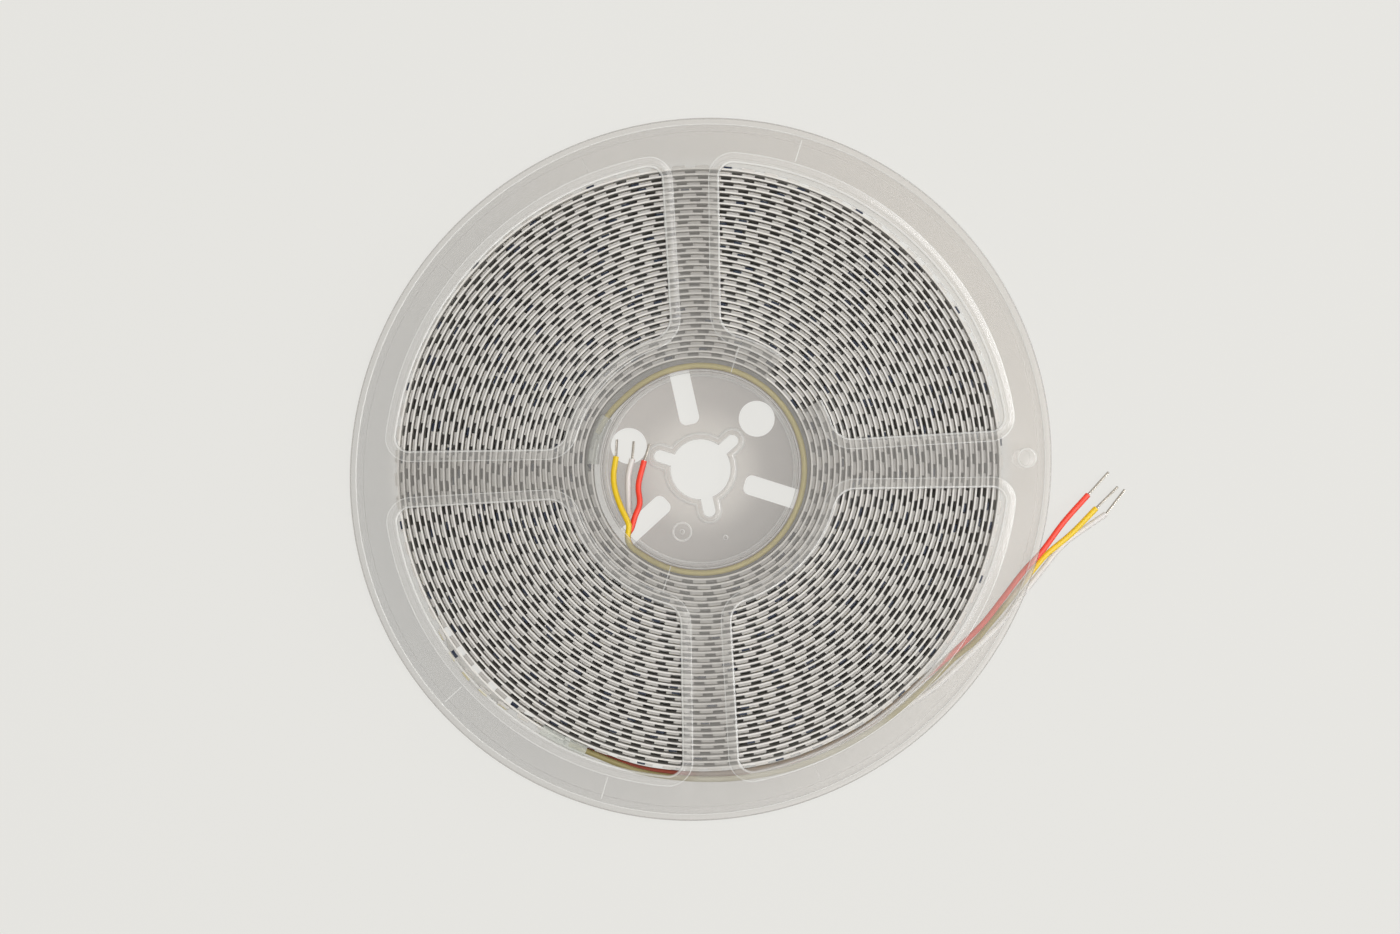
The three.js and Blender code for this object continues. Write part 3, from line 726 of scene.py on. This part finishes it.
for colour, pad in PADS.items():
    height = STRIP_MIDDLE + pad * PAD_PITCH
    wound_from, wound_to, wound_count = INNER_WOUND
    inner_route = [
        *(on_reel(STRIP_START_RADIUS + out, INNER_WIRE_END - angle, height) for out, angle in INNER_RISE),
        *wound((LEAD_RADIUS, wound_from, height), (LEAD_RADIUS, wound_to, height), wound_count),
        *((x, y, height * MM) for x, y in INNER_ENTRY),
        *INNER_FREE[colour],
    ]
    lead(colour, "inner", inner_route, INNER_TIPS[colour], INNER_CORE_LENGTH)
    crossing_starts, crossing_ends, crossing_past = OUTER_CROSSING
    start_radius, radius, crossed_height, leaves = OUTER_CROSSED[colour]
    outer_route = [
        *(on_reel(STRIP_END_RADIUS + out, OUTER_WIRE_END + angle, height) for out, angle in OUTER_RISE),
        *wound(
            (start_radius, OUTER_WIRE_END + crossing_starts, height),
            (radius, OUTER_WIRE_END + crossing_ends, crossed_height), 4,
        ),
        *wound(
            (radius, OUTER_WIRE_END + crossing_past, crossed_height),
            (radius, OUTER_WIRE_END + leaves, crossed_height), 2,
        ),
        *OUTER_FREE[colour],
    ]
    lead(colour, "outer", outer_route, OUTER_TIPS[colour], OUTER_CORE_LENGTH)


# Strip

def strip_radius(turn):
    """Middle of the strip's thickness after a number of turns."""
    from_sleeve = turn - round(turn)
    lifted = math.exp(-((from_sleeve * 360) ** 2) / SWELL_SPREAD ** 2) if turn > 0.5 else 0
    return (
        STRIP_START_RADIUS + TURN_PITCH * turn
        + SWELL_HEIGHT * lifted * math.exp(-max(turn - 1, 0) / SWELL_TURNS)
    )


def strip_wave(turn, angle):
    """How far the wound strip strays from an even spiral, which fades toward both of its ends."""
    t, wound_width = math.radians(angle), turn * TURN_PITCH
    stray = sum(wave * math.sin(count * t + drift * wound_width) for wave, count, drift in STRAYS)
    return stray * math.sqrt(max(0, math.sin(math.pi * turn / TURN_COUNT)))


STRIP_STEP = 1.5
step_count = math.ceil(TURN_COUNT * 360 / STRIP_STEP)
strip_path = []
for i in range(step_count + 1):
    turn = TURN_COUNT * i / step_count
    angle = STRIP_START_ANGLE + turn * 360
    strip_path.append(on_reel(strip_radius(turn) + strip_wave(turn, angle), angle, STRIP_MIDDLE))


def ribbon_tree():
    """A flat ribbon on edge along the path."""
    tree, inputs = new_tree("Ribbon", {
        "Width": "NodeSocketFloat", "Thickness": "NodeSocketFloat", "Finish": "NodeSocketMaterial",
    })
    curve = add_node(tree, "GeometryNodeMeshToCurve", {"Mesh": inputs["Path"]})
    upright = add_node(tree, "GeometryNodeSetCurveNormal", {"Curve": curve}, mode="Z_UP")
    section = add_node(tree, "GeometryNodeCurvePrimitiveQuadrilateral", {
        "Width": inputs["Thickness"], "Height": inputs["Width"],
    })
    swept = add_node(tree, "GeometryNodeCurveToMesh", {
        "Curve": upright, "Profile Curve": section, "Fill Caps": True,
    })
    return close_tree(tree, swept, inputs["Finish"])


def placed_along_tree():
    """Copies of one item along the path, at a spacing, each square to the path.

    The trimming node's inputs 4 and 5 are its start and end as lengths.
    """
    tree, inputs = new_tree("Placed along the strip", {
        "Item": "NodeSocketObject", "First": "NodeSocketFloat", "Spacing": "NodeSocketFloat",
        "Finish": "NodeSocketMaterial",
    })
    curve = add_node(tree, "GeometryNodeMeshToCurve", {"Mesh": inputs["Path"]})
    trimmed = add_node(tree, "GeometryNodeTrimCurve", {
        "Curve": curve, 4: inputs["First"], 5: 1e6,
    }, mode="LENGTH")
    spaced = add_node(tree, "GeometryNodeResampleCurve", {
        "Curve": trimmed, "Length": inputs["Spacing"],
    }, mode="LENGTH")
    tangent = add_node(tree, "GeometryNodeInputTangent")
    turn = add_node(tree, "FunctionNodeAlignRotationToVector", {"Vector": tangent}, axis="X", pivot_axis="Z")
    item = add_node(tree, "GeometryNodeObjectInfo", {"Object": inputs["Item"]})
    copies = add_node(tree, "GeometryNodeInstanceOnPoints", {
        "Points": spaced, "Instance": item.outputs["Geometry"], "Rotation": turn,
    })
    return close_tree(tree, copies, inputs["Finish"])


def box_item(name, centre, size, bevel):
    """A small block: its length on X, its outward side on -Y, its height on Z and its edges chamfered."""
    shape = bmesh.new()
    bmesh.ops.create_cube(shape, size=1.0)
    bmesh.ops.scale(shape, vec=Vector(size) * MM, verts=shape.verts)
    bmesh.ops.translate(shape, vec=Vector(centre) * MM, verts=shape.verts)
    if bevel:
        bmesh.ops.bevel(shape, geom=shape.edges[:], offset=bevel * MM, segments=1, affect="EDGES")
    mesh = bpy.data.meshes.new(name)
    shape.to_mesh(mesh)
    shape.free()
    return bpy.data.objects.new(name, mesh)


BEFORE_LAST_TURN = 0.35  # share of a turn's pitch at which the last turn and what is on it begin


def leaned(co):
    """Leans the stretch near the strip's outer end: its rear edge moves outward."""
    radius = np.hypot(co[:, 0], co[:, 1])
    angle = np.degrees(np.arctan2(co[:, 1], co[:, 0]))
    from_end = np.mod(STRIP_END_ANGLE - angle, 360)
    into_lean = (from_end - LEAN_FROM_END) / LEAN_SPAN
    last_turn = radius > (STRIP_END_RADIUS - TURN_PITCH * (from_end / 360 + BEFORE_LAST_TURN)) * MM
    leaning = (into_lean > 0) & (into_lean < 1) & last_turn
    down = (STRIP_BOTTOM + STRIP_WIDTH) / STRIP_WIDTH - co[:, 2] / (STRIP_WIDTH * MM)
    shift = np.where(leaning, LEAN_REACH * MM * np.sin(np.pi * into_lean) ** 2 * down, 0)
    co[:, :2] *= ((radius + shift) / radius)[:, None]
    return co


ribbon = with_tree(path_object("led_strip_ribbon_path", strip_path), ribbon_tree(), {
    "Width": STRIP_WIDTH * MM, "Thickness": STRIP_THICKNESS * MM, "Finish": white_mask,
})
ribbon = smoothed(moved(plain(ribbon, "led_strip_ribbon"), leaned))
ribbon.data.materials.append(cut_edge)
for polygon in ribbon.data.polygons:
    polygon.material_index = int(abs(polygon.normal.z) > 0.5)
kept(ribbon, "strip", "led_strip")

placed_along = placed_along_tree()
face = STRIP_THICKNESS / 2
ITEMS = (
    ("led_chips", box_item(
        "chip", (0, -face - CHIP_HEIGHT / 2, 0), (CHIP_LENGTH, CHIP_HEIGHT, CHIP_WIDTH), CHIP_CHAMFER,
    ), FIRST_LIGHT, LIGHT_PITCH, chip_plastic),
    ("led_lenses", box_item(
        "lens", (0, -face - CHIP_HEIGHT, 0), (LENS_LENGTH, LENS_THICKNESS, LENS_WIDTH), 0,
    ), FIRST_LIGHT, LIGHT_PITCH, phosphor),
    ("led_resistors", box_item(
        "resistor", (0, -face - RESISTOR_SIZE[1] / 2, RESISTOR_ABOVE_MIDDLE), RESISTOR_SIZE, RESISTOR_CHAMFER,
    ), FIRST_LIGHT + LIGHT_PITCH / 2, LIGHT_PITCH * LIGHTS_PER_RESISTOR, resistor_glaze),
)
for name, item, first, spacing, finish in ITEMS:
    placed = with_tree(path_object(name + "_path", strip_path), placed_along, {
        "Item": item, "First": first * MM, "Spacing": spacing * MM, "Finish": finish,
    })
    placed = moved(plain(placed, name), leaned)
    kept(placed, "strip")
    bpy.data.objects.remove(item)


# Flanges

def window_outline(grow):
    """Outline of the window between a spoke along +X and the next one, offset outward by grow."""
    span = 360 / SPOKE_COUNT
    lean = math.atan2((SPOKE_OUTER_WIDTH - SPOKE_INNER_WIDTH) / 2, WINDOW_OUTER_RADIUS - WINDOW_INNER_RADIUS)
    along = np.array((math.cos(lean), math.sin(lean)))
    across = np.array((-along[1], along[0]))
    offset = across @ np.array((WINDOW_INNER_RADIUS, SPOKE_INNER_WIDTH / 2))

    def corner_centre(corner, radius):
        return across * (offset + corner) + along * math.sqrt(radius ** 2 - (offset + corner) ** 2)

    inner = corner_centre(WINDOW_INNER_CORNER, WINDOW_INNER_RADIUS + WINDOW_INNER_CORNER)
    outer = corner_centre(WINDOW_OUTER_CORNER, WINDOW_OUTER_RADIUS - WINDOW_OUTER_CORNER)
    inner_angle = math.degrees(math.atan2(inner[1], inner[0]))
    outer_angle = math.degrees(math.atan2(outer[1], outer[0]))
    side = math.degrees(lean) - 90
    half = [
        *arc((0, 0), WINDOW_INNER_RADIUS - grow, span / 2, inner_angle, 16),
        *arc(inner, WINDOW_INNER_CORNER + grow, inner_angle - 180, side, 10)[1:],
        *arc(outer, WINDOW_OUTER_CORNER + grow, side, outer_angle, 10),
        *arc((0, 0), WINDOW_OUTER_RADIUS + grow, outer_angle, span / 2, 24)[1:],
    ]
    mirrored = [polar(np.hypot(*p), span - math.degrees(math.atan2(p[1], p[0]))) for p in half]
    return [*half, *mirrored[1:-1][::-1]]


def bowed(reach):
    """The move that bows the outer band out between one pair of spokes and in between the next."""
    def place(co):
        radius = np.hypot(co[:, 0], co[:, 1])
        past_spoke = np.arctan2(co[:, 1], co[:, 0]) - math.radians(FIRST_SPOKE_ANGLE)
        outward = np.maximum(0, radius / MM - WINDOW_INNER_RADIUS) / (FLANGE_RADIUS - WINDOW_INNER_RADIUS)
        shift = reach * MM * outward ** 2 * np.sin(past_spoke * SPOKE_COUNT / 2)
        co[:, :2] *= ((radius + shift) / radius)[:, None]
        return co
    return place


def window_edges(angles):
    """A tree of points 0.2 mm apart along the windows' edges, to tell how far from an edge a place is."""
    places = []
    for angle in angles:
        outline = turned(window_outline(0), angle)
        for start, stop in zip(outline, [*outline[1:], outline[0]]):
            steps = math.ceil(np.linalg.norm(stop - start) / 0.2)
            places += [start + (stop - start) * i / steps for i in range(steps)]
    edges = KDTree(len(places))
    for i, (x, y) in enumerate(places):
        edges.insert((x, y, 0), i)
    edges.balance()
    return edges


def flange(name, reach, rim_finish, brim_finish):
    """One flange moulding, with the face toward the strip at z = 0 and its outer band bowed."""
    lip = PLATE + RIM_HEIGHT
    outer_round = arc((FLANGE_RADIUS - RIM_ROUND, lip - RIM_ROUND), RIM_ROUND, 0, 90, 4)
    inner_round = arc((FLANGE_RADIUS - RIM_WIDTH + RIM_ROUND, lip - RIM_ROUND), RIM_ROUND, 90, 170, 4)
    profile = [
        (BORE_RADIUS, 0), (FLANGE_RADIUS - PLATE_CHAMFER, 0), (FLANGE_RADIUS, PLATE_CHAMFER),
        *outer_round, *inner_round, (FLANGE_RADIUS - RIM_WIDTH, PLATE),
        (BORE_RADIUS + PLATE_CHAMFER, PLATE), (BORE_RADIUS, PLATE - PLATE_CHAMFER),
    ]
    body = revolved("plate", profile, facets=240)
    angles = [FIRST_SPOKE_ANGLE + 360 / SPOKE_COUNT * i for i in range(SPOKE_COUNT)]
    openings = [prism("opening", turned(window_outline(0), a), -CUT_PAST, lip + CUT_PAST) for a in angles]
    beads = []
    crest = PLATE + BEAD_HEIGHT
    section = [  # distance from the window, and height
        (0, PLATE / 2), (0, crest - 0.25), (0.08, crest - 0.08), (0.25, crest), (BRIGHT_EDGE, crest),
        (BEAD_TOP_WIDTH - 0.3, crest), (BEAD_TOP_WIDTH, crest - 0.06), (BEAD_TOP_WIDTH + 0.3, crest - 0.17),
        (BEAD_WIDTH - 0.22, PLATE + WELD_HEIGHT), (BEAD_WIDTH, PLATE), (BEAD_WIDTH, PLATE / 2),
    ]
    for angle in angles:
        loops = [[(x, y, z) for x, y in turned(window_outline(grow), angle)] for grow, z in section]
        beads.append(loft("bead", loops))
    notch = prism("notch", turned([
        *arc((0, 0), WINDOW_INNER_RADIUS - NOTCH_DEPTH, NOTCH_SPAN / 2, -NOTCH_SPAN / 2, 12),
        *arc((0, 0), WINDOW_INNER_RADIUS + BEAD_WIDTH, -NOTCH_SPAN / 2, NOTCH_SPAN / 2, 12),
    ], NOTCH_ANGLE), -CUT_PAST, lip + CUT_PAST)
    boss = capped("boss", [
        (BOSS_RADIUS, PLATE / 2), (BOSS_RADIUS, PLATE + BOSS_HEIGHT / 2),
        (BOSS_RADIUS - 0.3, PLATE + BOSS_HEIGHT * 0.8), (BOSS_TOP_RADIUS, PLATE + BOSS_HEIGHT),
    ], 32, polar(FLANGE_RADIUS - BOSS_FROM_EDGE, FIRST_SPOKE_ANGLE))
    half = WELD_WIDTH / 2
    welds = [
        prism("weld", turned([
            np.array(p) for p in ((start, -half), (stop, -half), (stop, half), (start, half))
        ], angle), PLATE - WELD_HEIGHT, PLATE + WELD_HEIGHT)
        for angle, start, stop in WELD_LINES
    ]
    made = cut_and_joined(body, [
        (joined("openings", openings), "DIFFERENCE"), (joined("beads", beads), "UNION"),
        (notch, "DIFFERENCE"), (joined("raised", [boss, *welds]), "UNION"),
    ], name, frosted)
    highlight_index, rim_index, bead_index, brim_index = 1, 2, 3, 4
    for finish in (frosted_edge_highlight, rim_finish, frosted_bead, brim_finish):
        made.data.materials.append(finish)
    edges = window_edges(angles)
    # Painted light by face: sloped faces, the fine ridges just above the plate and a band along each window
    # get a painted highlight; the bead and boss tops are painted paler (painted light), and on the front
    # flange the outermost round is painted darker (painted shade)
    for polygon in made.data.polygons:
        x, y, z = polygon.center / MM
        radius = math.hypot(x, y)
        fine_line = 0.01 < z - PLATE < WELD_HEIGHT * 1.1
        by_window = z > PLATE and edges.find((x, y, 0))[2] < BRIGHT_EDGE
        sloped = abs(polygon.normal.z) < 0.9
        if radius > FLANGE_RADIUS - RIM_ROUND:
            polygon.material_index = brim_index
        elif sloped or fine_line or by_window:
            polygon.material_index = highlight_index
        elif radius > FLANGE_RADIUS - RIM_WIDTH:
            polygon.material_index = rim_index
        elif z > PLATE + WELD_HEIGHT:
            polygon.material_index = bead_index
    return moved(made, bowed(reach))


front_flange = flange("flange_front", BOW_REACH, frosted_rim, frosted_brim)
rear_flange = flange("flange_rear", -BOW_REACH, frosted, frosted)
front_flange.data.transform(Matrix.Translation((0, 0, FRONT_PLATE_BOTTOM * MM)))
spoke_axis = (*polar(1, FIRST_SPOKE_ANGLE), 0)
rear_flange.data.transform(
    Matrix.Translation((0, 0, REAR_PLATE_TOP * MM)) @ Matrix.Rotation(math.pi, 4, Vector(spoke_axis))
)
kept(smoothed(front_flange), "frosted_plastic", "front_flange")
kept(smoothed(rear_flange), "frosted_plastic", "rear_flange")


# Hub

def round_ended(half_width, reach):
    """A bar that runs out from the axis and ends in a half circle."""
    end = arc((reach - half_width, 0), half_width, -90, 90, 14)
    return [np.array((0, -half_width)), *end, np.array((0, half_width))]


def arbor_shape(name, levels):
    """The arbor hole with its keyways, grown at each level by a width on all sides."""
    body = capped("arbor", [(ARBOR_RADIUS + grow, z) for grow, z in levels], 96)
    ways = []
    for angle in KEYWAY_ANGLES:
        loops = [
            [(*p, z) for p in turned(round_ended(KEYWAY_WIDTH / 2 + grow, KEYWAY_REACH + grow), angle)]
            for grow, z in levels
        ]
        ways.append((loft("keyway", loops, False), "UNION"))
    return cut_and_joined(body, ways, name, hub_clear)


def hub():
    """A cup whose two ends step in to pass through the flanges' bores."""
    wall_foot = SPIGOT_RADIUS - SPIGOT_WALL - WALL_DRAFT
    shoulder = (REAR_PLATE_TOP + SEAT_GAP, FRONT_PLATE_BOTTOM - SEAT_GAP)
    body = capped("cup", [
        (SPIGOT_RADIUS - 0.2, HUB_BOTTOM), (SPIGOT_RADIUS, HUB_BOTTOM + 0.2), (SPIGOT_RADIUS, shoulder[0]),
        (HUB_RADIUS, shoulder[0]), (HUB_RADIUS, shoulder[1]), (SPIGOT_RADIUS, shoulder[1]),
        (SPIGOT_RADIUS, HUB_TOP - 0.1), (SPIGOT_RADIUS - 0.1, HUB_TOP),
        (SPIGOT_RADIUS - SPIGOT_WALL, HUB_TOP), (wall_foot, FLOOR_TOP + 0.3), (wall_foot - 0.3, FLOOR_TOP),
    ], 192)
    crest = FLOOR_TOP + COLLAR_HEIGHT
    collar = arbor_shape("collar", [
        (COLLAR_WIDTH, FLOOR_TOP - ROOT_DEPTH), (COLLAR_WIDTH, FLOOR_TOP + 0.1),
        (COLLAR_WIDTH - 0.25, crest - 0.4), (COLLAR_WIDTH - 0.7, crest - 0.08), (COLLAR_WIDTH - 1.1, crest),
    ])
    arbor = arbor_shape("arbor_opening", [
        (0, -CUT_PAST), (0, crest - 0.3), (0.25, crest - 0.05), (0.35, crest + CUT_PAST),
    ])
    half = SLOT_WIDTH / 2
    corner = (SLOT_START + SLOT_CORNER, half - SLOT_CORNER)
    slot = [
        *arc(corner, SLOT_CORNER, 90, 180, 8), *arc((corner[0], -corner[1]), SLOT_CORNER, 180, 270, 8),
        np.array((HUB_RADIUS + CUT_PAST, -half)), np.array((HUB_RADIUS + CUT_PAST, half)),
    ]
    slots = [prism("slot", turned(slot, a), -CUT_PAST, HUB_TOP + CUT_PAST) for a in SLOT_ANGLES]
    hole = [(HOLE_RADIUS, -CUT_PAST), (HOLE_RADIUS, FLOOR_TOP + CUT_PAST)]
    holes = [capped("hole", hole, 64, polar(HOLE_FROM_AXIS, a)) for a in HOLE_ANGLES]
    gate_place = polar(GATE_FROM_AXIS, GATE_ANGLE)
    ring = revolved("gate_ring", [
        (GATE_RADIUS - GATE_WALL, FLOOR_TOP - ROOT_DEPTH), (GATE_RADIUS, FLOOR_TOP - ROOT_DEPTH),
        (GATE_RADIUS, FLOOR_TOP + GATE_HEIGHT / 2), (GATE_RADIUS - GATE_WALL / 2, FLOOR_TOP + GATE_HEIGHT),
        (GATE_RADIUS - GATE_WALL, FLOOR_TOP + GATE_HEIGHT / 2),
    ], 40)
    ring.data.transform(Matrix.Translation((*(gate_place * MM), 0)))
    pip_top = FLOOR_TOP + GATE_HEIGHT
    pips = [
        capped("pip", [
            (PIP_RADIUS, FLOOR_TOP - ROOT_DEPTH), (PIP_RADIUS, FLOOR_TOP), (PIP_RADIUS * 0.7, pip_top - 0.1),
            (PIP_RADIUS * 0.3, pip_top),
        ], 20, place)
        for place in (gate_place, polar(PIP_FROM_AXIS, PIP_ANGLE))
    ]
    return cut_and_joined(body, [
        (collar, "UNION"), (arbor, "DIFFERENCE"), (joined("slots", slots), "DIFFERENCE"),
        (joined("holes", holes), "DIFFERENCE"), (joined("gate", [ring, *pips]), "UNION"),
    ], "hub_cup", hub_clear)


kept(smoothed(with_painted_highlights(hub(), hub_edge_highlight)), "hub_plastic", "hub")


# Sleeves and solder

def sleeve(name, radius, angle):
    """A tube of film flattened onto the strip."""
    sweep = math.degrees(SLEEVE_LENGTH / radius)
    corners = ((1, -1, -90), (1, 1, 0), (-1, 1, 90), (-1, -1, 180))

    def outline(inset):
        return [
            point
            for sx, sy, start in corners
            for point in arc(
                (sx * (SLEEVE_HALF_WIDTH - SLEEVE_CORNER), sy * (SLEEVE_HALF_ROOM - SLEEVE_CORNER)),
                SLEEVE_CORNER - inset, start, start + 90, 4,
            )
        ]

    def ring(inset, at_angle):
        direction = polar(1, at_angle)
        return [(*(direction * (radius + y)), STRIP_MIDDLE + x) for x, y in outline(inset)]

    stations = np.linspace(angle - sweep / 2, angle + sweep / 2, 13)
    loops = [ring(0, a) for a in stations] + [ring(SLEEVE_WALL, a) for a in stations[::-1]]
    return smoothed(loft(name, loops, True, film))


kept(sleeve("sleeve_inner", STRIP_START_RADIUS, STRIP_START_ANGLE), "clear_film", "inner_sleeve")
outer_sleeve = sleeve("sleeve_outer", STRIP_END_RADIUS + OUTER_SLEEVE_SHIFT, STRIP_END_ANGLE)
kept(outer_sleeve, "clear_film", "outer_sleeve")
for node_name, node_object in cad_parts.items():
    if "solder" in node_name:
        node_object.data.materials.clear()
        node_object.data.materials.append(solder_metal)


# Floor and light

def seen_share(tree):
    """1 where the camera, metal or clear plastic sees the background, and 0 where it lights the reel."""
    path = add_node(tree, "ShaderNodeLightPath")
    seen = add_node(tree, "ShaderNodeMath", {
        0: path.outputs["Is Camera Ray"], 1: path.outputs["Is Transmission Ray"],
    }, operation="MAXIMUM")
    return add_node(tree, "ShaderNodeMath", {0: seen, 1: path.outputs["Is Glossy Ray"]}, operation="MAXIMUM")


def floor_material():
    """A pale paper sweep that the camera sees as written, also through plastic, with part of its shading.

    Under the roll it is an ordinary floor, so that the slits between the turns stay dark.
    """
    material, tree = new_material("Pale sweep")
    diffuse = add_node(tree, "ShaderNodeBsdfDiffuse", {"Color": linear(BACKDROP)})
    glow = add_node(tree, "ShaderNodeEmission", {"Color": linear(BACKDROP), "Strength": 1.0})
    place = add_node(tree, "ShaderNodeTexCoord").outputs["Object"]
    radius = add_node(tree, "ShaderNodeVectorMath", {0: place}, operation="LENGTH").outputs["Value"]
    roll_middle = (STRIP_START_RADIUS + STRIP_END_RADIUS) / 2 * MM
    from_middle = add_node(tree, "ShaderNodeMath", {0: radius, 1: roll_middle}, operation="SUBTRACT")
    away = add_node(tree, "ShaderNodeMath", {0: from_middle}, operation="ABSOLUTE")
    clear = add_node(tree, "ShaderNodeMath", {
        0: away, 1: roll_middle - STRIP_START_RADIUS * MM,
    }, operation="GREATER_THAN")
    shown = add_node(tree, "ShaderNodeMath", {0: seen_share(tree), 1: clear}, operation="MULTIPLY")
    share = add_node(tree, "ShaderNodeMath", {0: shown, 1: FLAT_SHARE}, operation="MULTIPLY")
    close_material(tree, add_node(tree, "ShaderNodeMixShader", {0: share, 1: diffuse, 2: glow}))
    return material


floor_mesh = bpy.data.meshes.new("floor")
reach = FLOOR_REACH * MM
floor_mesh.from_pydata(
    [(-reach, -reach, 0), (reach, -reach, 0), (reach, reach, 0), (-reach, reach, 0)], [], [(0, 1, 2, 3)],
)
floor_mesh.materials.append(floor_material())
floor = new_object("floor", floor_mesh)
floor.location.z = -FLOOR_DROP * MM

world = bpy.data.worlds.new("studio")
scene.world = world
world.use_nodes = True
world.node_tree.nodes.clear()
room = add_node(world.node_tree, "ShaderNodeBackground", {"Color": linear("#F4F3F0"), "Strength": 0.38})
backdrop = add_node(world.node_tree, "ShaderNodeBackground", {"Color": linear(BACKDROP), "Strength": 1.0})
shown = add_node(world.node_tree, "ShaderNodeMixShader", {
    0: seen_share(world.node_tree), 1: room, 2: backdrop,
})
add_node(world.node_tree, "ShaderNodeOutputWorld", {"Surface": shown})


def soft_light(name, location, size, power):
    """A soft box that faces the reel: its width and height in metres, and its power in watts."""
    data = bpy.data.lights.new(name, "AREA")
    data.shape = "RECTANGLE"
    data.size, data.size_y = size
    data.energy = power
    lamp = new_object(name, data)
    lamp.location = location
    lamp.rotation_euler = (-Vector(location)).to_track_quat("-Z", "Y").to_euler()
    return lamp


soft_light("key_right", (0.8, 0.08, 0.72), (0.55, 0.55), 3.0)
overhead = soft_light("overhead", (0.02, 0.01, 1.1), (0.22, 0.22), 6.6)
overhead.visible_glossy = False
for name, location, size, power in (
    ("sheen_right", (0.36, -0.24, 1.0), (0.5, 0.5), 6.0),
    ("strip_right", (0.743, 0.271, 0.764), (1.2, 0.2), 12.0),
):
    soft_light(name, location, size, power).visible_diffuse = False
